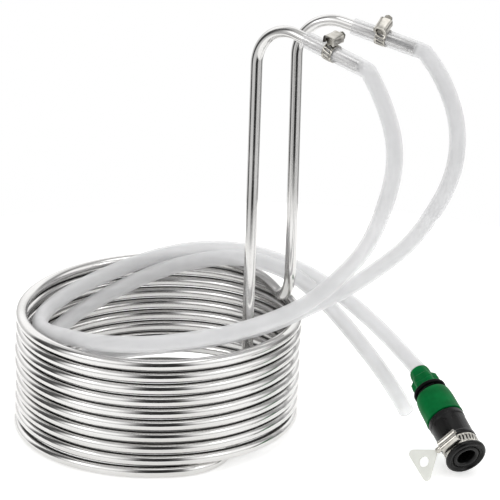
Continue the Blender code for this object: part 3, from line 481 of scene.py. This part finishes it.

# %% [markdown]
# Each hose is one length: pushed over the steel tube at one end, then hanging, lying round the top of
# the coil and running down to the floor. Its route is a smooth curve through listed points. The
# curve is a cubic between each pair of points, with equal slopes and bends where two cubics meet.

# %% Hose routes, in millimetres from the coil's axis
INLET_ROUTE = [
    (182, -120, 322), (189.5, -123, 302), (193, -120, 277), (191.5, -113, 255),
    (186.5, -104, 231), (179.5, -92, 205), (170, -80, 180.5), (158, -71, 163), (145, -64, 147),
    (131, -62, 133.5), (114, -66, 124.5), (96, -76, 121), (70, -93, 118.5), (39, -106, 117.5),
    (4, -116, 117), (-22, -110, 114), (-46, -96.5, 110.5), (-65.5, -74.5, 105.5),
    (-86.5, -44, 98), (-96.5, -6, 91), (-92.5, 29, 89), (-76.5, 60, 91), (-53, 82, 96.5),
    (-24, 96, 104), (6, 103, 112), (34, 102, 117), (58, 97, 119.5), (83, 85, 120),
    (104, 67, 119.5), (121, 54, 117), (136, 46, 111.5), (152, 38, 103), (170, 29, 91),
    (187, 19, 78.5), (202, 4, 67),
]
DRAIN_ROUTE = [
    (235, -59, 314), (243, -64, 294), (245.5, -66, 274), (244.5, -65, 254),
    (240, -63, 235), (232, -60, 216), (221, -56, 197), (206, -51, 174), (191, -48, 161),
    (176, -45, 148), (158, -42, 134.5), (140, -41, 124.5), (122, -43, 116.5), (107, -50, 111.5),
    (92, -60, 109.5), (68, -75, 109.5), (39, -91, 109), (4, -99, 108.5), (-20, -95, 104),
    (-42, -85, 96), (-63, -70, 85), (-82, -46, 75), (-92, -12, 68), (-89, 24, 67),
    (-74, 58, 70.5), (-50, 80, 79), (-22, 92, 90), (7, 93, 102), (32, 88.5, 110.5),
    (56, 80, 117), (78, 70, 120.5), (97, 53, 120.5), (110, 42, 120), (122, 33, 116),
    (133, 25, 109), (149, 16, 94.5), (165, 9, 77), (181, 5, 57), (194, 4, 38.5), (204.5, 6, 20.5),
]
DRAIN_OPEN_END = np.array([212.5, 10, 3.7])
HOSE_RADIUS, HOSE_BORE, HOSE_LEAD = 6.65, 5.05, 4.0
SWELL, EASE = 0.12, 1.5  # how far the hose stretches, and over what length it settles
CLAMP_FROM_END = 26.0
CONNECTOR_AXIS = heading(-67.6, 23.3)
CONNECTOR_LENGTH, LIP_RADIUS, LIP_BEVEL = 100.9, 17.3, 1.6
tilt = math.radians(23.3)
mouth_height = LIP_RADIUS * math.cos(tilt) - LIP_BEVEL * math.sin(tilt) + 0.1
CONNECTOR_START = np.array([255.5, -111.5, mouth_height]) - CONNECTOR_AXIS * CONNECTOR_LENGTH
print("the inlet hose ends at", CONNECTOR_START.round(1), "mm")


# %% The smooth curve
def smooth_curve(points, first, last, spacing):
    """Points at an even spacing on the cubic curve through a route. The slopes at the joins come
    from one set of linear equations, which makes the bend the same on both sides of each join."""
    points = np.array(points, float)
    knots = walk(points)
    gap, count = np.diff(knots), len(points)
    inner = np.arange(1, count - 1)
    system, right = np.zeros((count, count)), np.zeros((count, 3))
    system[0, 0] = system[-1, -1] = 1
    right[0], right[-1] = first, last
    system[inner, inner - 1], system[inner, inner + 1] = 1 / gap[:-1], 1 / gap[1:]
    system[inner, inner] = 2 / gap[:-1] + 2 / gap[1:]
    rise = np.diff(points, axis=0) / gap[:, None] ** 2
    right[1:-1] = 3 * (rise[:-1] + rise[1:])
    slope = np.linalg.solve(system, right)
    s = np.linspace(0, knots[-1], 4000)
    i = np.clip(np.searchsorted(knots, s, side="right") - 1, 0, count - 2)
    h, t = gap[i][:, None], ((s - knots[i]) / gap[i])[:, None]
    fine = (
        (2 * t**3 - 3 * t**2 + 1) * points[i]
        + (t**3 - 2 * t**2 + t) * h * slope[i]
        + (3 * t**2 - 2 * t**3) * points[i + 1]
        + (t**3 - t**2) * h * slope[i + 1]
    )
    walked = walk(fine)
    places = np.linspace(0, walked[-1], round(walked[-1] / spacing) + 1)
    return np.stack([np.interp(places, walked, fine[:, k]) for k in range(3)], axis=1)


def evened(path, passes=26):
    """A hose is stiff, so it evens out its own bends: each point moves halfway to the mean of its two
    neighbours, many times over, while both ends stay where they are held."""
    path = path.copy()
    for _ in range(passes):
        path[2:-2] = 0.5 * path[2:-2] + 0.25 * (path[1:-3] + path[3:-1])
    return path


print("the inlet route's points span", round(walk(np.array(INLET_ROUTE))[-1]), "mm")


# %% Path and thickness of a hose
def hose_path(end, axis, route, goal, goal_axis, straight, spacing=4.0):
    """The overlap on the steel tube, a short straight lead, the curve, and a straight last piece."""
    overlap = end + axis * np.arange(-HOSE_OVERLAP, 0, 2.0)[:, None]
    lead = end + axis * (0.3 + HOSE_LEAD)
    curve = evened(smooth_curve([lead, *route, goal], axis, goal_axis, spacing))
    return np.vstack([overlap, (end + axis * 0.3)[None], curve, (goal + goal_axis * straight)[None]])


def hose_radii(path):
    """Outer and bore radius along a hose: swollen a little over the steel tube, pinched under the
    clamp's band, and easing back past the tube's end."""
    walked = walk(path)
    swell = SWELL / (1 + np.exp((walked - HOSE_OVERLAP) / EASE))
    pinch = SWELL * np.exp(-(((walked - CLAMP_FROM_END) / 5.5) ** 6))
    flow = HOSE_BORE - 0.15 / (1 + np.exp((HOSE_OVERLAP + 2 - walked) / EASE))
    return HOSE_RADIUS + swell - pinch, flow


print("radii at a hose's start:", [round(float(r[0]), 2) for r in hose_radii(np.zeros((2, 3)))])

# %% The two hoses
last_axis = unit(DRAIN_OPEN_END - np.array(DRAIN_ROUTE[-1]))
paths = {
    "inlet_hose": hose_path(inlet_end, inlet_axis, INLET_ROUTE, CONNECTOR_START, CONNECTOR_AXIS, 12.0),
    "drain_hose": hose_path(drain_end, drain_axis, DRAIN_ROUTE,
                            DRAIN_OPEN_END - last_axis * HOSE_LEAD, last_axis, HOSE_LEAD),
}
hoses = {}
for name, path in paths.items():
    full = with_rims(path)
    grid, uv, _ = skin(full, *hose_radii(full), around=28)
    hose = grid_piece(name + "_tube", placed(grid), HOSE, "chiller", close_rows=True, uv=uv, sharp=60)
    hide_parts(name, name + "_cuff")
    length = walk(path)[-1] * MM
    hoses[name] = (hose, path, length)
    print(name, round(length, 3), "m")

# %% [markdown]
# A worm-drive clamp has three pieces. The band is a strip with a row of slanted slots, bent into a ring.
# The housing is an arch pressed from sheet, and the screw's thread runs in the slots. The ring is a grid
# from which the slots' cells are left out, and Solidify gives the strip its thickness.

# %% Clamp sizes, in millimetres
BAND_WIDTH, BAND_THICKNESS, GAP = 9.0, 0.7, 0.3
WORM_RADIUS, HOUSING_WALL = 3.2, 1.0
SLOT_PITCH, SLOT_SLANT = 2.9, 0.18
print("slots round a hose:", round(2 * math.pi * (HOSE_RADIUS + GAP) / SLOT_PITCH))


# %% A place on a pipe
class Place:
    """Three directions and a centre: along the hose, out to the housing, and along the screw."""

    def __init__(self, centre, along, outward):
        self.centre, self.along = np.array(centre, float), unit(np.array(along, float))
        outward = np.array(outward, float)
        self.out = unit(outward - self.along * (outward @ self.along))
        self.across = np.cross(self.along, self.out)

    def at(self, out, across, along):
        """Points from their distances along the three directions."""
        parts = [np.asarray(v, float)[..., None] for v in (out, across, along)]
        return self.centre + parts[0] * self.out + parts[1] * self.across + parts[2] * self.along


print("the screw of a level pipe runs along", Place((0, 0, 0), (1, 0, 0), (0, 0, 1)).across)


# %% Slotted band
def slotted_band(name, place, inner, body, node):
    """Points lie on a circle of the band's radius. Across the strip they shift round a little, which
    slants the slots. In each slot's period of four columns, the middle two lack their middle rows."""
    periods = round(2 * math.pi * inner / SLOT_PITCH)
    columns = np.arange(periods * 4)
    across = np.array([-1, -0.94, -0.62, -0.2, 0.2, 0.62, 0.94, 1]) * BAND_WIDTH / 2
    step = np.array([0.0, 0.28, 0.5, 0.72])[columns % 4] + columns // 4
    angle = step[None, :] * 2 * math.pi / periods + across[:, None] * SLOT_SLANT / inner
    dome = inner + BAND_THICKNESS / 2 - 0.12 * (across / across.max()) ** 4
    grid = place.at(dome[:, None] * np.cos(angle), dome[:, None] * np.sin(angle),
                    np.broadcast_to(across[:, None], angle.shape))
    faces = grid_faces(*angle.shape, False, True)
    cell = np.arange(len(faces))
    row, column = cell // len(columns), cell % len(columns)
    solid = ~((row >= 2) & (row <= 4) & np.isin(column % 4, (1, 2)))
    band = new_piece(name, placed(grid), faces[solid], STRIP, body, sharp=30)
    wall = band.modifiers.new("strip", "SOLIDIFY")
    wall.thickness, wall.offset = BAND_THICKNESS * MM, 0.0
    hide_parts(node)
    return band


print("a slot is", round((0.72 - 0.28) * SLOT_PITCH, 1), "mm wide")

# %% [markdown]
# The housing is bent from one sheet round the screw, so it is an arch with feet, thicker at the shoulders
# than over the tunnel. A rounded box is the simplest outline that has both flat sides and soft corners.


# %% Pressed housing
def pressed_housing(name, place, inner, half, body, node, grooves=0):
    """A sheet arch over the screw. Its outline is a rounded box, |x|^4 + |y|^4 = 1, on straight legs,
    the tunnel inside is round, and grooves are pressed along its top by a cosine of the outline's
    angle. The ends flare outwards."""
    floor = inner + BAND_THICKNESS + GAP
    tunnel = WORM_RADIUS + GAP
    middle = floor + tunnel
    turn = np.linspace(math.radians(-118), math.radians(118), 49)
    box = (np.abs(np.cos(turn)) ** 4 + np.abs(np.sin(turn)) ** 4) ** -0.25
    press = 0.22 * grooves * np.cos(turn * 6) * (np.abs(turn) < 1.2)
    outer_z = (BAND_WIDTH / 2 + HOUSING_WALL) * box * np.sin(turn)
    outer_x = middle + (tunnel + HOUSING_WALL) * box * np.cos(turn) - press - 0.1
    outer_x = np.maximum(outer_x, floor)
    inner_x, inner_z = np.maximum(middle + tunnel * np.cos(turn), floor), tunnel * np.sin(turn)
    x = np.concatenate([outer_x, inner_x[::-1]])
    z = np.concatenate([outer_z, inner_z[::-1]])
    y = np.array([-1, -0.985, -0.93, -0.8, -0.3, 0.3, 0.8, 0.93, 0.985, 1]) * half
    tuck = np.array([0.25, 0.06, 0, 0.22, 0.3, 0.3, 0.22, 0, 0.06, 0.25])
    is_outer = np.concatenate([np.ones(49), np.zeros(49)]) * (x > floor + 0.01)
    shrink = 1 - tuck[:, None] * is_outer[None, :] / 7
    grid = place.at(middle + (x - middle) * shrink, np.broadcast_to(y[:, None], shrink.shape), z * shrink)
    rows, columns = shrink.shape
    faces = facing_out(grid.reshape(-1, 3), grid_faces(rows, columns, False, True))
    # Each end is a row of quads between the arch's outer and inner outline.
    outline = np.arange(48)
    ring = np.stack([outline, outline + 1, columns - 2 - outline, columns - 1 - outline], axis=1)
    near, far = ring, ring[:, ::-1] + (rows - 1) * columns
    flip = faces[0, 0] == 0 and faces[0, 1] == 1
    ends = np.vstack([near[:, ::-1], far[:, ::-1]]) if flip else np.vstack([near, far])
    housing = new_piece(name, placed(grid), np.vstack([faces, ends]), STRIP, body, sharp=35)
    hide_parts(node)
    return housing


# %% [markdown]
# The screw is turned and its thread is rolled. A thread is only a radius that rises and falls along the
# length, and that shifts by one pitch for each turn, so no helix has to be swept.


# %% Threaded screw
def threaded_screw(name, place, inner, half, body, node, head_radius, head_length, slotted):
    """A turned shape about the screw's axis. On the worm the radius follows a cosine of the length
    less the angle, which is one helical thread. The head is a hexagon: the radius is the flat's
    distance over the cosine of the angle from the flat's middle. A slot is a dip in its end."""
    thread_pitch, slot_half, slot_depth = 2.0, 0.75, 1.3
    axis_out = inner + BAND_THICKNESS + GAP + WORM_RADIUS + GAP
    worm_start, worm_end = -half + 1.2, half - 0.4
    neck = half + GAP
    head_end = neck + head_length
    y = np.concatenate([
        [worm_start], np.linspace(worm_start + 0.2, worm_end, 90),
        [neck - 0.3, neck, neck + 0.15, neck + 0.8, neck + 0.81, head_end - 0.5, head_end - 0.1,
         head_end],
    ])
    angle = np.linspace(0, 2 * math.pi, 72, endpoint=False)
    wave = np.cos(2 * math.pi * y[:, None] / thread_pitch - angle)
    near_flat = (angle + math.pi / 6) % (math.pi / 3) - math.pi / 6
    hexagon = np.minimum(head_radius * 0.90 / np.cos(near_flat), head_radius) if slotted else head_radius
    radius = 0.84 * WORM_RADIUS + 0.15 * WORM_RADIUS * wave
    # Tip, neck, collar, then the head with its edges eased.
    radius[0] = 0.5 * WORM_RADIUS
    radius[[-8, -7]] = 0.7 * WORM_RADIUS
    radius[[-6, -5]] = head_radius
    radius[-4:] = hexagon * np.array([0.96, 0.97, 0.88, 0.84])[:, None]
    y = np.broadcast_to(y[:, None], radius.shape).copy()
    face = np.linspace(1, 0, 16)[1:, None]
    end_radius = radius[-1][None] * face
    across_slot = end_radius * np.sin(angle)
    if slotted:
        dip = slot_depth * (np.abs(across_slot) < slot_half)
    else:
        dip = 0.25 * (end_radius < 0.45 * head_radius)
    y = np.vstack([y[:1], y, head_end - dip])
    radius = np.vstack([0 * angle[None], radius, end_radius])
    spin = angle + 0.5
    grid = place.at(axis_out + radius * np.cos(spin), y, radius * np.sin(spin))
    screw = grid_piece(name, placed(grid), SCREW if slotted else STRIP, body, sharp=35)
    merge = screw.modifiers.new("poles", "WELD")
    merge.merge_threshold = 0.000001
    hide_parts(node)
    return screw


print("the thread stands", round(0.3 * WORM_RADIUS, 2), "mm high")

# %% [markdown]
# Both riser clamps sit on the stretch where the hose lies over the steel tube. Their housings are
# turned up and to one side, each by its own roll, so that a screwdriver can reach them.


# %% Riser clamps
def riser_clamp(side, end, axis, roll):
    """The housing sits at a roll angle from level, round the hose."""
    centre = end - axis * (HOSE_OVERLAP - CLAMP_FROM_END)
    level = unit(np.cross(axis, (0, 0, 1)))
    upward = unit(np.cross(level, axis))
    angle = math.radians(roll)
    place = Place(centre, -axis, level * math.cos(angle) + upward * math.sin(angle))
    inner = HOSE_RADIUS + GAP
    prefix = side + "_clamp_"
    slotted_band(prefix + "strip", place, inner - 0.2, "chiller", prefix + "band")
    pressed_housing(prefix + "arch", place, inner, 6.5, "chiller", prefix + "housing")
    threaded_screw(prefix + "worm", place, inner, 6.5, side + "_screw", prefix + "screw", 3.5, 4.5, True)


riser_clamp("inlet", inlet_end, inlet_axis, 85.0)
riser_clamp("drain", drain_end, drain_axis, 62.0)

# %% [markdown]
# The tap connector is turned parts on one axis. A profile is a short list of heights and radii. Its
# corners are rounded by a fillet each, and the profile is carried round the axis. Lobes, ribs and slots
# come from a function that swells the radius by the angle.

# %% Turned pieces
CONNECTOR = Place(CONNECTOR_START, CONNECTOR_AXIS, (0, 0, 1))
print("the connector points along", CONNECTOR.along.round(3))


def eased(profile, ease, points=4):
    """A closed profile with each corner replaced by a short curve: a quadratic between the points
    that lie an ease length before and after the corner."""
    corners = np.array(profile, float)
    before, after = np.roll(corners, 1, axis=0), np.roll(corners, -1, axis=0)
    to_before, to_after = before - corners, after - corners
    size_b = np.linalg.norm(to_before, axis=1, keepdims=True)
    size_a = np.linalg.norm(to_after, axis=1, keepdims=True)
    start = corners + to_before / size_b * np.minimum(ease, size_b * 0.45)
    end = corners + to_after / size_a * np.minimum(ease, size_a * 0.45)
    t = np.linspace(0, 1, points)[None, :, None]
    curve = (1 - t) ** 2 * start[:, None] + 2 * t * (1 - t) * corners[:, None] + t**2 * end[:, None]
    return curve.reshape(-1, 2)


def turned(name, profile, finish, body, node, ease=0.35, around=96, swell=None, sharp=50):
    """Each profile point goes round the axis at its radius plus the swell for its angle."""
    loop = eased(profile, ease)
    angle = np.linspace(0, 2 * math.pi, around, endpoint=False)
    height = np.broadcast_to(loop[:, :1], (len(loop), around))
    radius = np.broadcast_to(loop[:, 1:], (len(loop), around))
    if swell is not None:
        radius = radius + swell(height, radius, angle[None, :])
    grid = CONNECTOR.at(radius * np.cos(angle), radius * np.sin(angle), height)
    piece = grid_piece(name, placed(grid), finish, body, close_rows=True, sharp=sharp)
    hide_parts(node)
    return piece


# %% [markdown]
# The green nut squeezes the hose onto the barb. Its lower part has six rounded lobes for the fingers.
# The black stop ring behind it is the shoulder of the connector's body, and the green sleeve is drawn
# back towards it to let the tap side go.


# %% Nut and body
def nut_lobes(height, radius, angle):
    """Six lobes: a cosine of six times the angle, fading in along the lower part. The collar has
    the same lobes at a third of the size."""
    skin_only = np.clip((radius - 7.6) / 0.6, 0, 1)
    grown = 0.30 + 0.80 * np.clip((height - 9.0) / 1.5, 0, 1)
    return skin_only * grown * np.cos(6 * angle) * np.clip((height - 0.6) / 2.0, 0, 1)


nut = turned(
    "green_hose_nut",
    [(0, 6.95), (0, 7.9), (2.0, 8.2), (8.2, 8.4), (9.0, 8.9), (10.0, 10.5), (15.5, 10.95), (16.2, 10.55),
     (16.9, 10.95), (21.2, 10.9), (22.0, 10.3), (22.0, 9.3), (10.2, 9.3), (10.2, 6.95)],
    GREEN, "nut", "hose_nut", ease=0.5, around=144, swell=nut_lobes,
)
body = turned(
    "black_connector_body",
    [(12.3, 3.2), (12.3, 3.7), (13.3, 4.2), (14.9, 3.9), (15.0, 4.2), (15.4, 4.2), (15.4, 9.0),
     (22.4, 9.0), (22.4, 13.6), (22.9, 14.0), (24.7, 14.0), (25.2, 13.6), (25.2, 11.0), (51.0, 11.0),
     (51.0, 8.3), (33.5, 8.3), (33.5, 3.2)],
    BLACK, "chiller", "connector_body", ease=0.3,
)


# %% Release sleeve
def sleeve_grips(height, radius, angle):
    """Shallow finger flutes near the front, from a cosine of twenty-four times the angle."""
    outside = np.clip((radius - 13.6) / 0.8, 0, 1)
    band = np.exp(-(((height - 50.5) / 4.5) ** 8))
    return -0.10 * outside * band * (0.5 + 0.5 * np.cos(24 * angle))


sleeve = turned(
    "green_release_sleeve",
    [(28.8, 13.2), (28.8, 13.7), (29.4, 14.3), (32.0, 14.9), (36.0, 15.35), (41.0, 15.6), (48.0, 15.7),
     (53.5, 15.9), (55.9, 16.1), (56.4, 15.8), (56.4, 13.0), (48.6, 13.0), (45.4, 11.4), (42.8, 11.4),
     (42.8, 13.2)],
    GREEN, "sleeve", "release_sleeve", ease=0.6, swell=sleeve_grips,
)

# %% [markdown]
# The tap side is soft black rubber: a ribbed sleeve, a seat for the clamp's band and a thick lip with a
# ring pressed into its face. A separate insert in the mouth seals on the tap.


# %% Adaptor and its insert
def adaptor_ribs(height, radius, angle):
    """Forty fine ribs along the sleeve, from a cosine of forty times the angle."""
    outside = np.clip((radius - 14.9) / 0.2, 0, 1)
    span = np.exp(-(((height - 72.3) / 8.5) ** 10))
    return 0.14 * outside * span * np.cos(40 * angle)


adaptor = turned(
    "black_tap_sleeve",
    [(56.9, 7.7), (56.9, 14.7), (57.6, 15.5), (61.8, 15.6), (62.8, 15.1), (81.4, 15.1), (82.2, 15.7),
     (85.0, 15.7), (85.8, 15.2), (85.9, 14.6), (96.4, 14.6), (96.5, 16.6), (97.4, 17.3),
     (99.4, 17.25), (100.6, 16.2), (100.9, 15.2), (100.7, 14.3), (99.7, 13.7), (99.0, 12.9),
     (99.1, 12.2), (99.5, 11.7), (97.4, 11.6), (97.4, 10.2), (79.1, 10.2), (79.1, 7.7)],
    RUBBER, "adaptor", "tap_adaptor", ease=0.5, around=160, swell=adaptor_ribs,
)
insert = turned(
    "mouth_seal",
    [(79.6, 7.3), (79.6, 9.9), (97.8, 9.9), (97.8, 11.3), (99.4, 11.2), (100.1, 10.4), (100.2, 9.0),
     (99.8, 8.1), (98.8, 7.4), (90.8, 7.3), (89.8, 7.8), (88.8, 7.3)],
    RUBBER, "adaptor", "mouth_insert", ease=0.5,
)

# %% [markdown]
# The clamp on the rubber sleeve is larger, and its screw ends in a pale plastic key that turns by hand.
# The key is a thin plate with a hole. Its outline is a triangle with rounded corners, and its edge is
# eased from face to face.

# %% Tap clamp
TAP_SCREW_ROLL = math.radians(48.0)
clamp_out = CONNECTOR.out * math.cos(TAP_SCREW_ROLL) + CONNECTOR.across * math.sin(TAP_SCREW_ROLL)
tap_place = Place(CONNECTOR_START + CONNECTOR_AXIS * 90.9, CONNECTOR_AXIS, clamp_out)
TAP_INNER = 14.6 + GAP
slotted_band("tap_clamp_strip", tap_place, TAP_INNER - 0.15, "adaptor", "tap_clamp_band")
pressed_housing("tap_clamp_arch", tap_place, TAP_INNER, 8.5, "adaptor", "tap_clamp_housing", grooves=1)
threaded_screw("tap_clamp_worm", tap_place, TAP_INNER, 8.5, "key", "tap_clamp_screw", 2.7, 4.5, False)


# %% The key's outline
KEY_HEIGHT, KEY_WIDTH, KEY_CORNER = 21.8, 32.0, 3.6


def key_outline(height=KEY_HEIGHT, width=KEY_WIDTH, corner=KEY_CORNER, points=14):
    """Three arcs joined by their tangents: one at the screw and two at the wide end's corners. An
    arc's point is its centre plus the corner radius along the angle."""
    slope = math.atan2(width / 2 - corner, height - 2 * corner)
    centres = [(corner, 0.0), (height - corner, -(width / 2 - corner)),
               (height - corner, width / 2 - corner)]
    quarter = math.pi / 2
    spans = [(quarter + slope, 3 * quarter - slope), (3 * quarter - slope, 4 * quarter),
             (0.0, quarter + slope)]
    arcs = []
    for (x, y), (low, high) in zip(centres, spans):
        a = np.linspace(low, high, points)
        arcs.append(np.stack([x + corner * np.cos(a), y + corner * np.sin(a)], axis=1))
    return np.vstack(arcs)


print("the key's outline has", len(key_outline()), "points")


# %% Wing key
def wing_key(start=13.6, thickness=1.6, turn=8.0, hole=4.2, hole_at=0.62):
    """Rows go from the hole's rim out to the outline over one face, round the edge, and back over
    the other face. Each row is a mix of the hole's circle and the outline, and the thickness eases
    off as a half ellipse at the edge."""
    outline = key_outline()
    centre = np.array([KEY_HEIGHT * hole_at, 0.0])
    ring = np.vstack([outline, outline[:1]])
    walked = walk(ring)
    places = np.linspace(0, walked[-1], 96, endpoint=False)
    rim = np.stack([np.interp(places, walked, ring[:, k]) for k in range(2)], axis=1)
    direction = rim - centre
    angle = np.arctan2(direction[:, 1], direction[:, 0])
    circle = centre + hole * np.stack([np.cos(angle), np.sin(angle)], axis=1)
    share = np.array([0.0, 0.03, 0.10, 0.5, 0.88, 0.96, 1.0])
    lift = np.array([0.35, 0.92, 1.0, 1.0, 1.0, 0.9, 0.35]) * thickness / 2
    rows = np.concatenate([share, share[::-1]])
    height = np.concatenate([lift, -lift[::-1]])
    plate = circle[None] + (rim - circle)[None] * rows[:, None, None]
    spin = math.radians(turn)
    wide = tap_place.along * math.cos(spin) - tap_place.out * math.sin(spin)
    normal = np.cross(tap_place.across, wide)
    base = tap_place.centre + tap_place.out * (TAP_INNER + BAND_THICKNESS + 2 * GAP + WORM_RADIUS)
    grid = (
        base + (start + plate[..., :1]) * tap_place.across + plate[..., 1:] * wide
        + np.broadcast_to(height[:, None, None], plate[..., :1].shape) * normal
    )
    key = grid_piece("pale_wing_key", placed(grid), KEY, "key", close_rows=True, sharp=60)
    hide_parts("wing_key")
    return key


key = wing_key()

# %% [markdown]
# The pieces inside the connector are right as packed, and hardly show. They only take their finishes.

# %% Finishes for the pieces inside
INSIDE = {
    "hose_grip_ring": BLACK, "tap_nipple": BLACK, "sleeve_spring": SPRING_WIRE, "nipple_seal_ring": RUBBER,
    "lock_claw_1": ACETAL, "lock_claw_2": ACETAL, "lock_claw_3": ACETAL,
}
for name, finish in INSIDE.items():
    mesh = frame["nodes"][name].data
    mesh.materials.clear()
    mesh.materials.append(finish)
print("inside pieces:", len(INSIDE))

# %% [markdown]
# The pieces of the whole tap connector, which sits on the inlet hose, are gathered in a list.

# %% What the hoses are
ON_INLET = [nut, body, sleeve, adaptor, insert, key]
ON_INLET += [bpy.data.objects[n] for n in ("tap_clamp_strip", "tap_clamp_arch", "tap_clamp_worm")]
ON_INLET += [frame["nodes"][n] for n in INSIDE]
print("pieces on the inlet hose:", len(ON_INLET))
for name, far_end, pieces in (("inlet_hose", "connector", ON_INLET), ("drain_hose", "bare", [])):
    hose, path, length = hoses[name]

# %% [markdown]
# The studio is a round light table under a large soft sky. The table glows a little, so the shadows on it
# stay faint, and it ends half a metre out, so upright tubes mirror the dark beyond its edge.

# %% Floor
TABLE_RADIUS, TABLE_DEPTH, TABLE_GLOW = 0.55, 0.0005, 0.45
angle = np.linspace(0, 2 * math.pi, 128, endpoint=False)
rim = TABLE_RADIUS * np.stack([np.cos(angle), np.sin(angle), 0 * angle], axis=1) - [0, 0, TABLE_DEPTH]
floor_mesh = bpy.data.meshes.new("floor")
floor_mesh.from_pydata(rim, [], [tuple(range(len(rim)))])
floor = bpy.data.objects.new("floor", floor_mesh)
bpy.context.scene.collection.objects.link(floor)
pale, tree, shader, coords = new_finish("white_light_table")
shader.inputs["Base Color"].default_value = linear("f6f6f5")
shader.inputs["Roughness"].default_value = 0.9
shader.inputs["Specular IOR Level"].default_value = 0.1
shader.inputs["Emission Color"].default_value = linear("ffffff")
shader.inputs["Emission Strength"].default_value = TABLE_GLOW
floor_mesh.materials.append(pale)
print("floor:", 2 * TABLE_RADIUS, "m across")

# %% [markdown]
# Bright metal only looks like metal when it has something dark to mirror, so the sky has darker stretches:
# one behind the camera, one on the left and one on the right, as between the lamps of a light tent. The
# camera itself sees plain white beyond the table.


# %% Soft light all round
# Each dark stretch: the heading of its middle, where it starts to fade, where it ends, how dark.
DARK_STRETCHES = [(4.0, 12.0, 36.0, 0.97), (-98.0, 9.0, 26.0, 0.92), (114.0, 6.0, 24.0, 0.70)]


def light_tent():
    """The sky's brightness by direction. The heading is the angle round from straight behind the
    camera. A dark stretch is one less a smooth step of the distance from its middle heading, and
    the stretches fade out towards the top. The rest grows brighter up to the height of the lamps."""
    world = bpy.data.worlds.new("light_tent")
    bpy.context.scene.world = world
    world.use_nodes = True
    tree = world.node_tree
    tree.nodes.clear()
    coords = add(tree, "TexCoord")
    parts = add(tree, "SeparateXYZ", Vector=coords.outputs["Generated"])
    x, y, z = (parts.outputs[k] for k in range(3))
    back = add(tree, "Math", {"operation": "MULTIPLY"}, _0=y, _1=-1.0)
    turn = add(tree, "Math", {"operation": "ARCTAN2"}, _0=x, _1=back.outputs[0])
    dark = 0.0
    for middle, core, edge, depth in DARK_STRETCHES:
        off = add(tree, "Math", {"operation": "SUBTRACT"}, _0=turn.outputs[0], _1=math.radians(middle))
        away = add(tree, "Math", {"operation": "ABSOLUTE"}, _0=off.outputs[0])
        patch = add(tree, "MapRange", {"interpolation_type": "SMOOTHSTEP"}, _0=away.outputs[0],
                    _1=math.radians(core), _2=math.radians(edge), _3=depth, _4=0.0).outputs["Result"]
        dark = add(tree, "Math", {"operation": "MAXIMUM"}, _0=dark, _1=patch).outputs[0]
    fade = add(tree, "MapRange", {"interpolation_type": "SMOOTHSTEP"}, _0=z, _1=0.72, _2=0.96, _3=1.0,
               _4=0.0).outputs["Result"]
    shade = add(tree, "Math", {"operation": "MULTIPLY"}, _0=dark, _1=fade)
    level = add(tree, "MapRange", {"interpolation_type": "SMOOTHSTEP"}, _0=z, _1=0.0, _2=0.45,
                _3=0.85, _4=1.45).outputs["Result"]
    over = add(tree, "MapRange", {"interpolation_type": "SMOOTHSTEP"}, _0=z, _1=0.55, _2=0.92, _3=0.0,
               _4=0.85).outputs["Result"]
    lit = add(tree, "Math", {"operation": "SUBTRACT"}, _0=level, _1=over)
    kept = add(tree, "Math", {"operation": "SUBTRACT"}, _0=1.0, _1=shade.outputs[0])
    bright = add(tree, "Math", {"operation": "MULTIPLY"}, _0=lit.outputs[0], _1=kept.outputs[0])
    sky = add(tree, "Background", Color=(1, 1, 1, 1), Strength=bright.outputs[0])
    plain = add(tree, "Background", Color=(1, 1, 1, 1), Strength=1.0)
    seen = add(tree, "LightPath")
    mix = add(tree, "MixShader", _0=seen.outputs["Is Camera Ray"], _1=sky.outputs[0], _2=plain.outputs[0])
    out = add(tree, "OutputWorld")
    tree.links.new(mix.outputs[0], out.inputs["Surface"])


light_tent()
print("sky:", bpy.context.scene.world.name, "with", len(DARK_STRETCHES), "dark stretches")


# %% Lamps
def soft_lamp(name, place, aim, size, power):
    """A round area lamp. Size is its width in metres, and power is in watts."""
    data = bpy.data.lights.new(name, "AREA")
    data.shape, data.size, data.energy = "DISK", size, power
    lamp = bpy.data.objects.new(name, data)
    bpy.context.scene.collection.objects.link(lamp)
    lamp.location = place
    lamp.rotation_euler = (Vector(place) - Vector(aim)).to_track_quat("Z", "Y").to_euler()
    return lamp


soft_lamp("lamp_over", (0.2, -0.3, 2.2), (0, 0, 0.1), 1.6, 9)
soft_lamp("lamp_left", (-1.9, -1.1, 1.3), (0, 0, 0.15), 0.9, 4)
soft_lamp("lamp_right", (1.8, -1.2, 1.5), (0.1, 0, 0.15), 0.7, 3)
bpy.context.scene.view_settings.view_transform = "Standard"
print("lamps:", len(bpy.data.lights))

# %% [markdown]

# %% The end
bpy.context.view_layer.update()
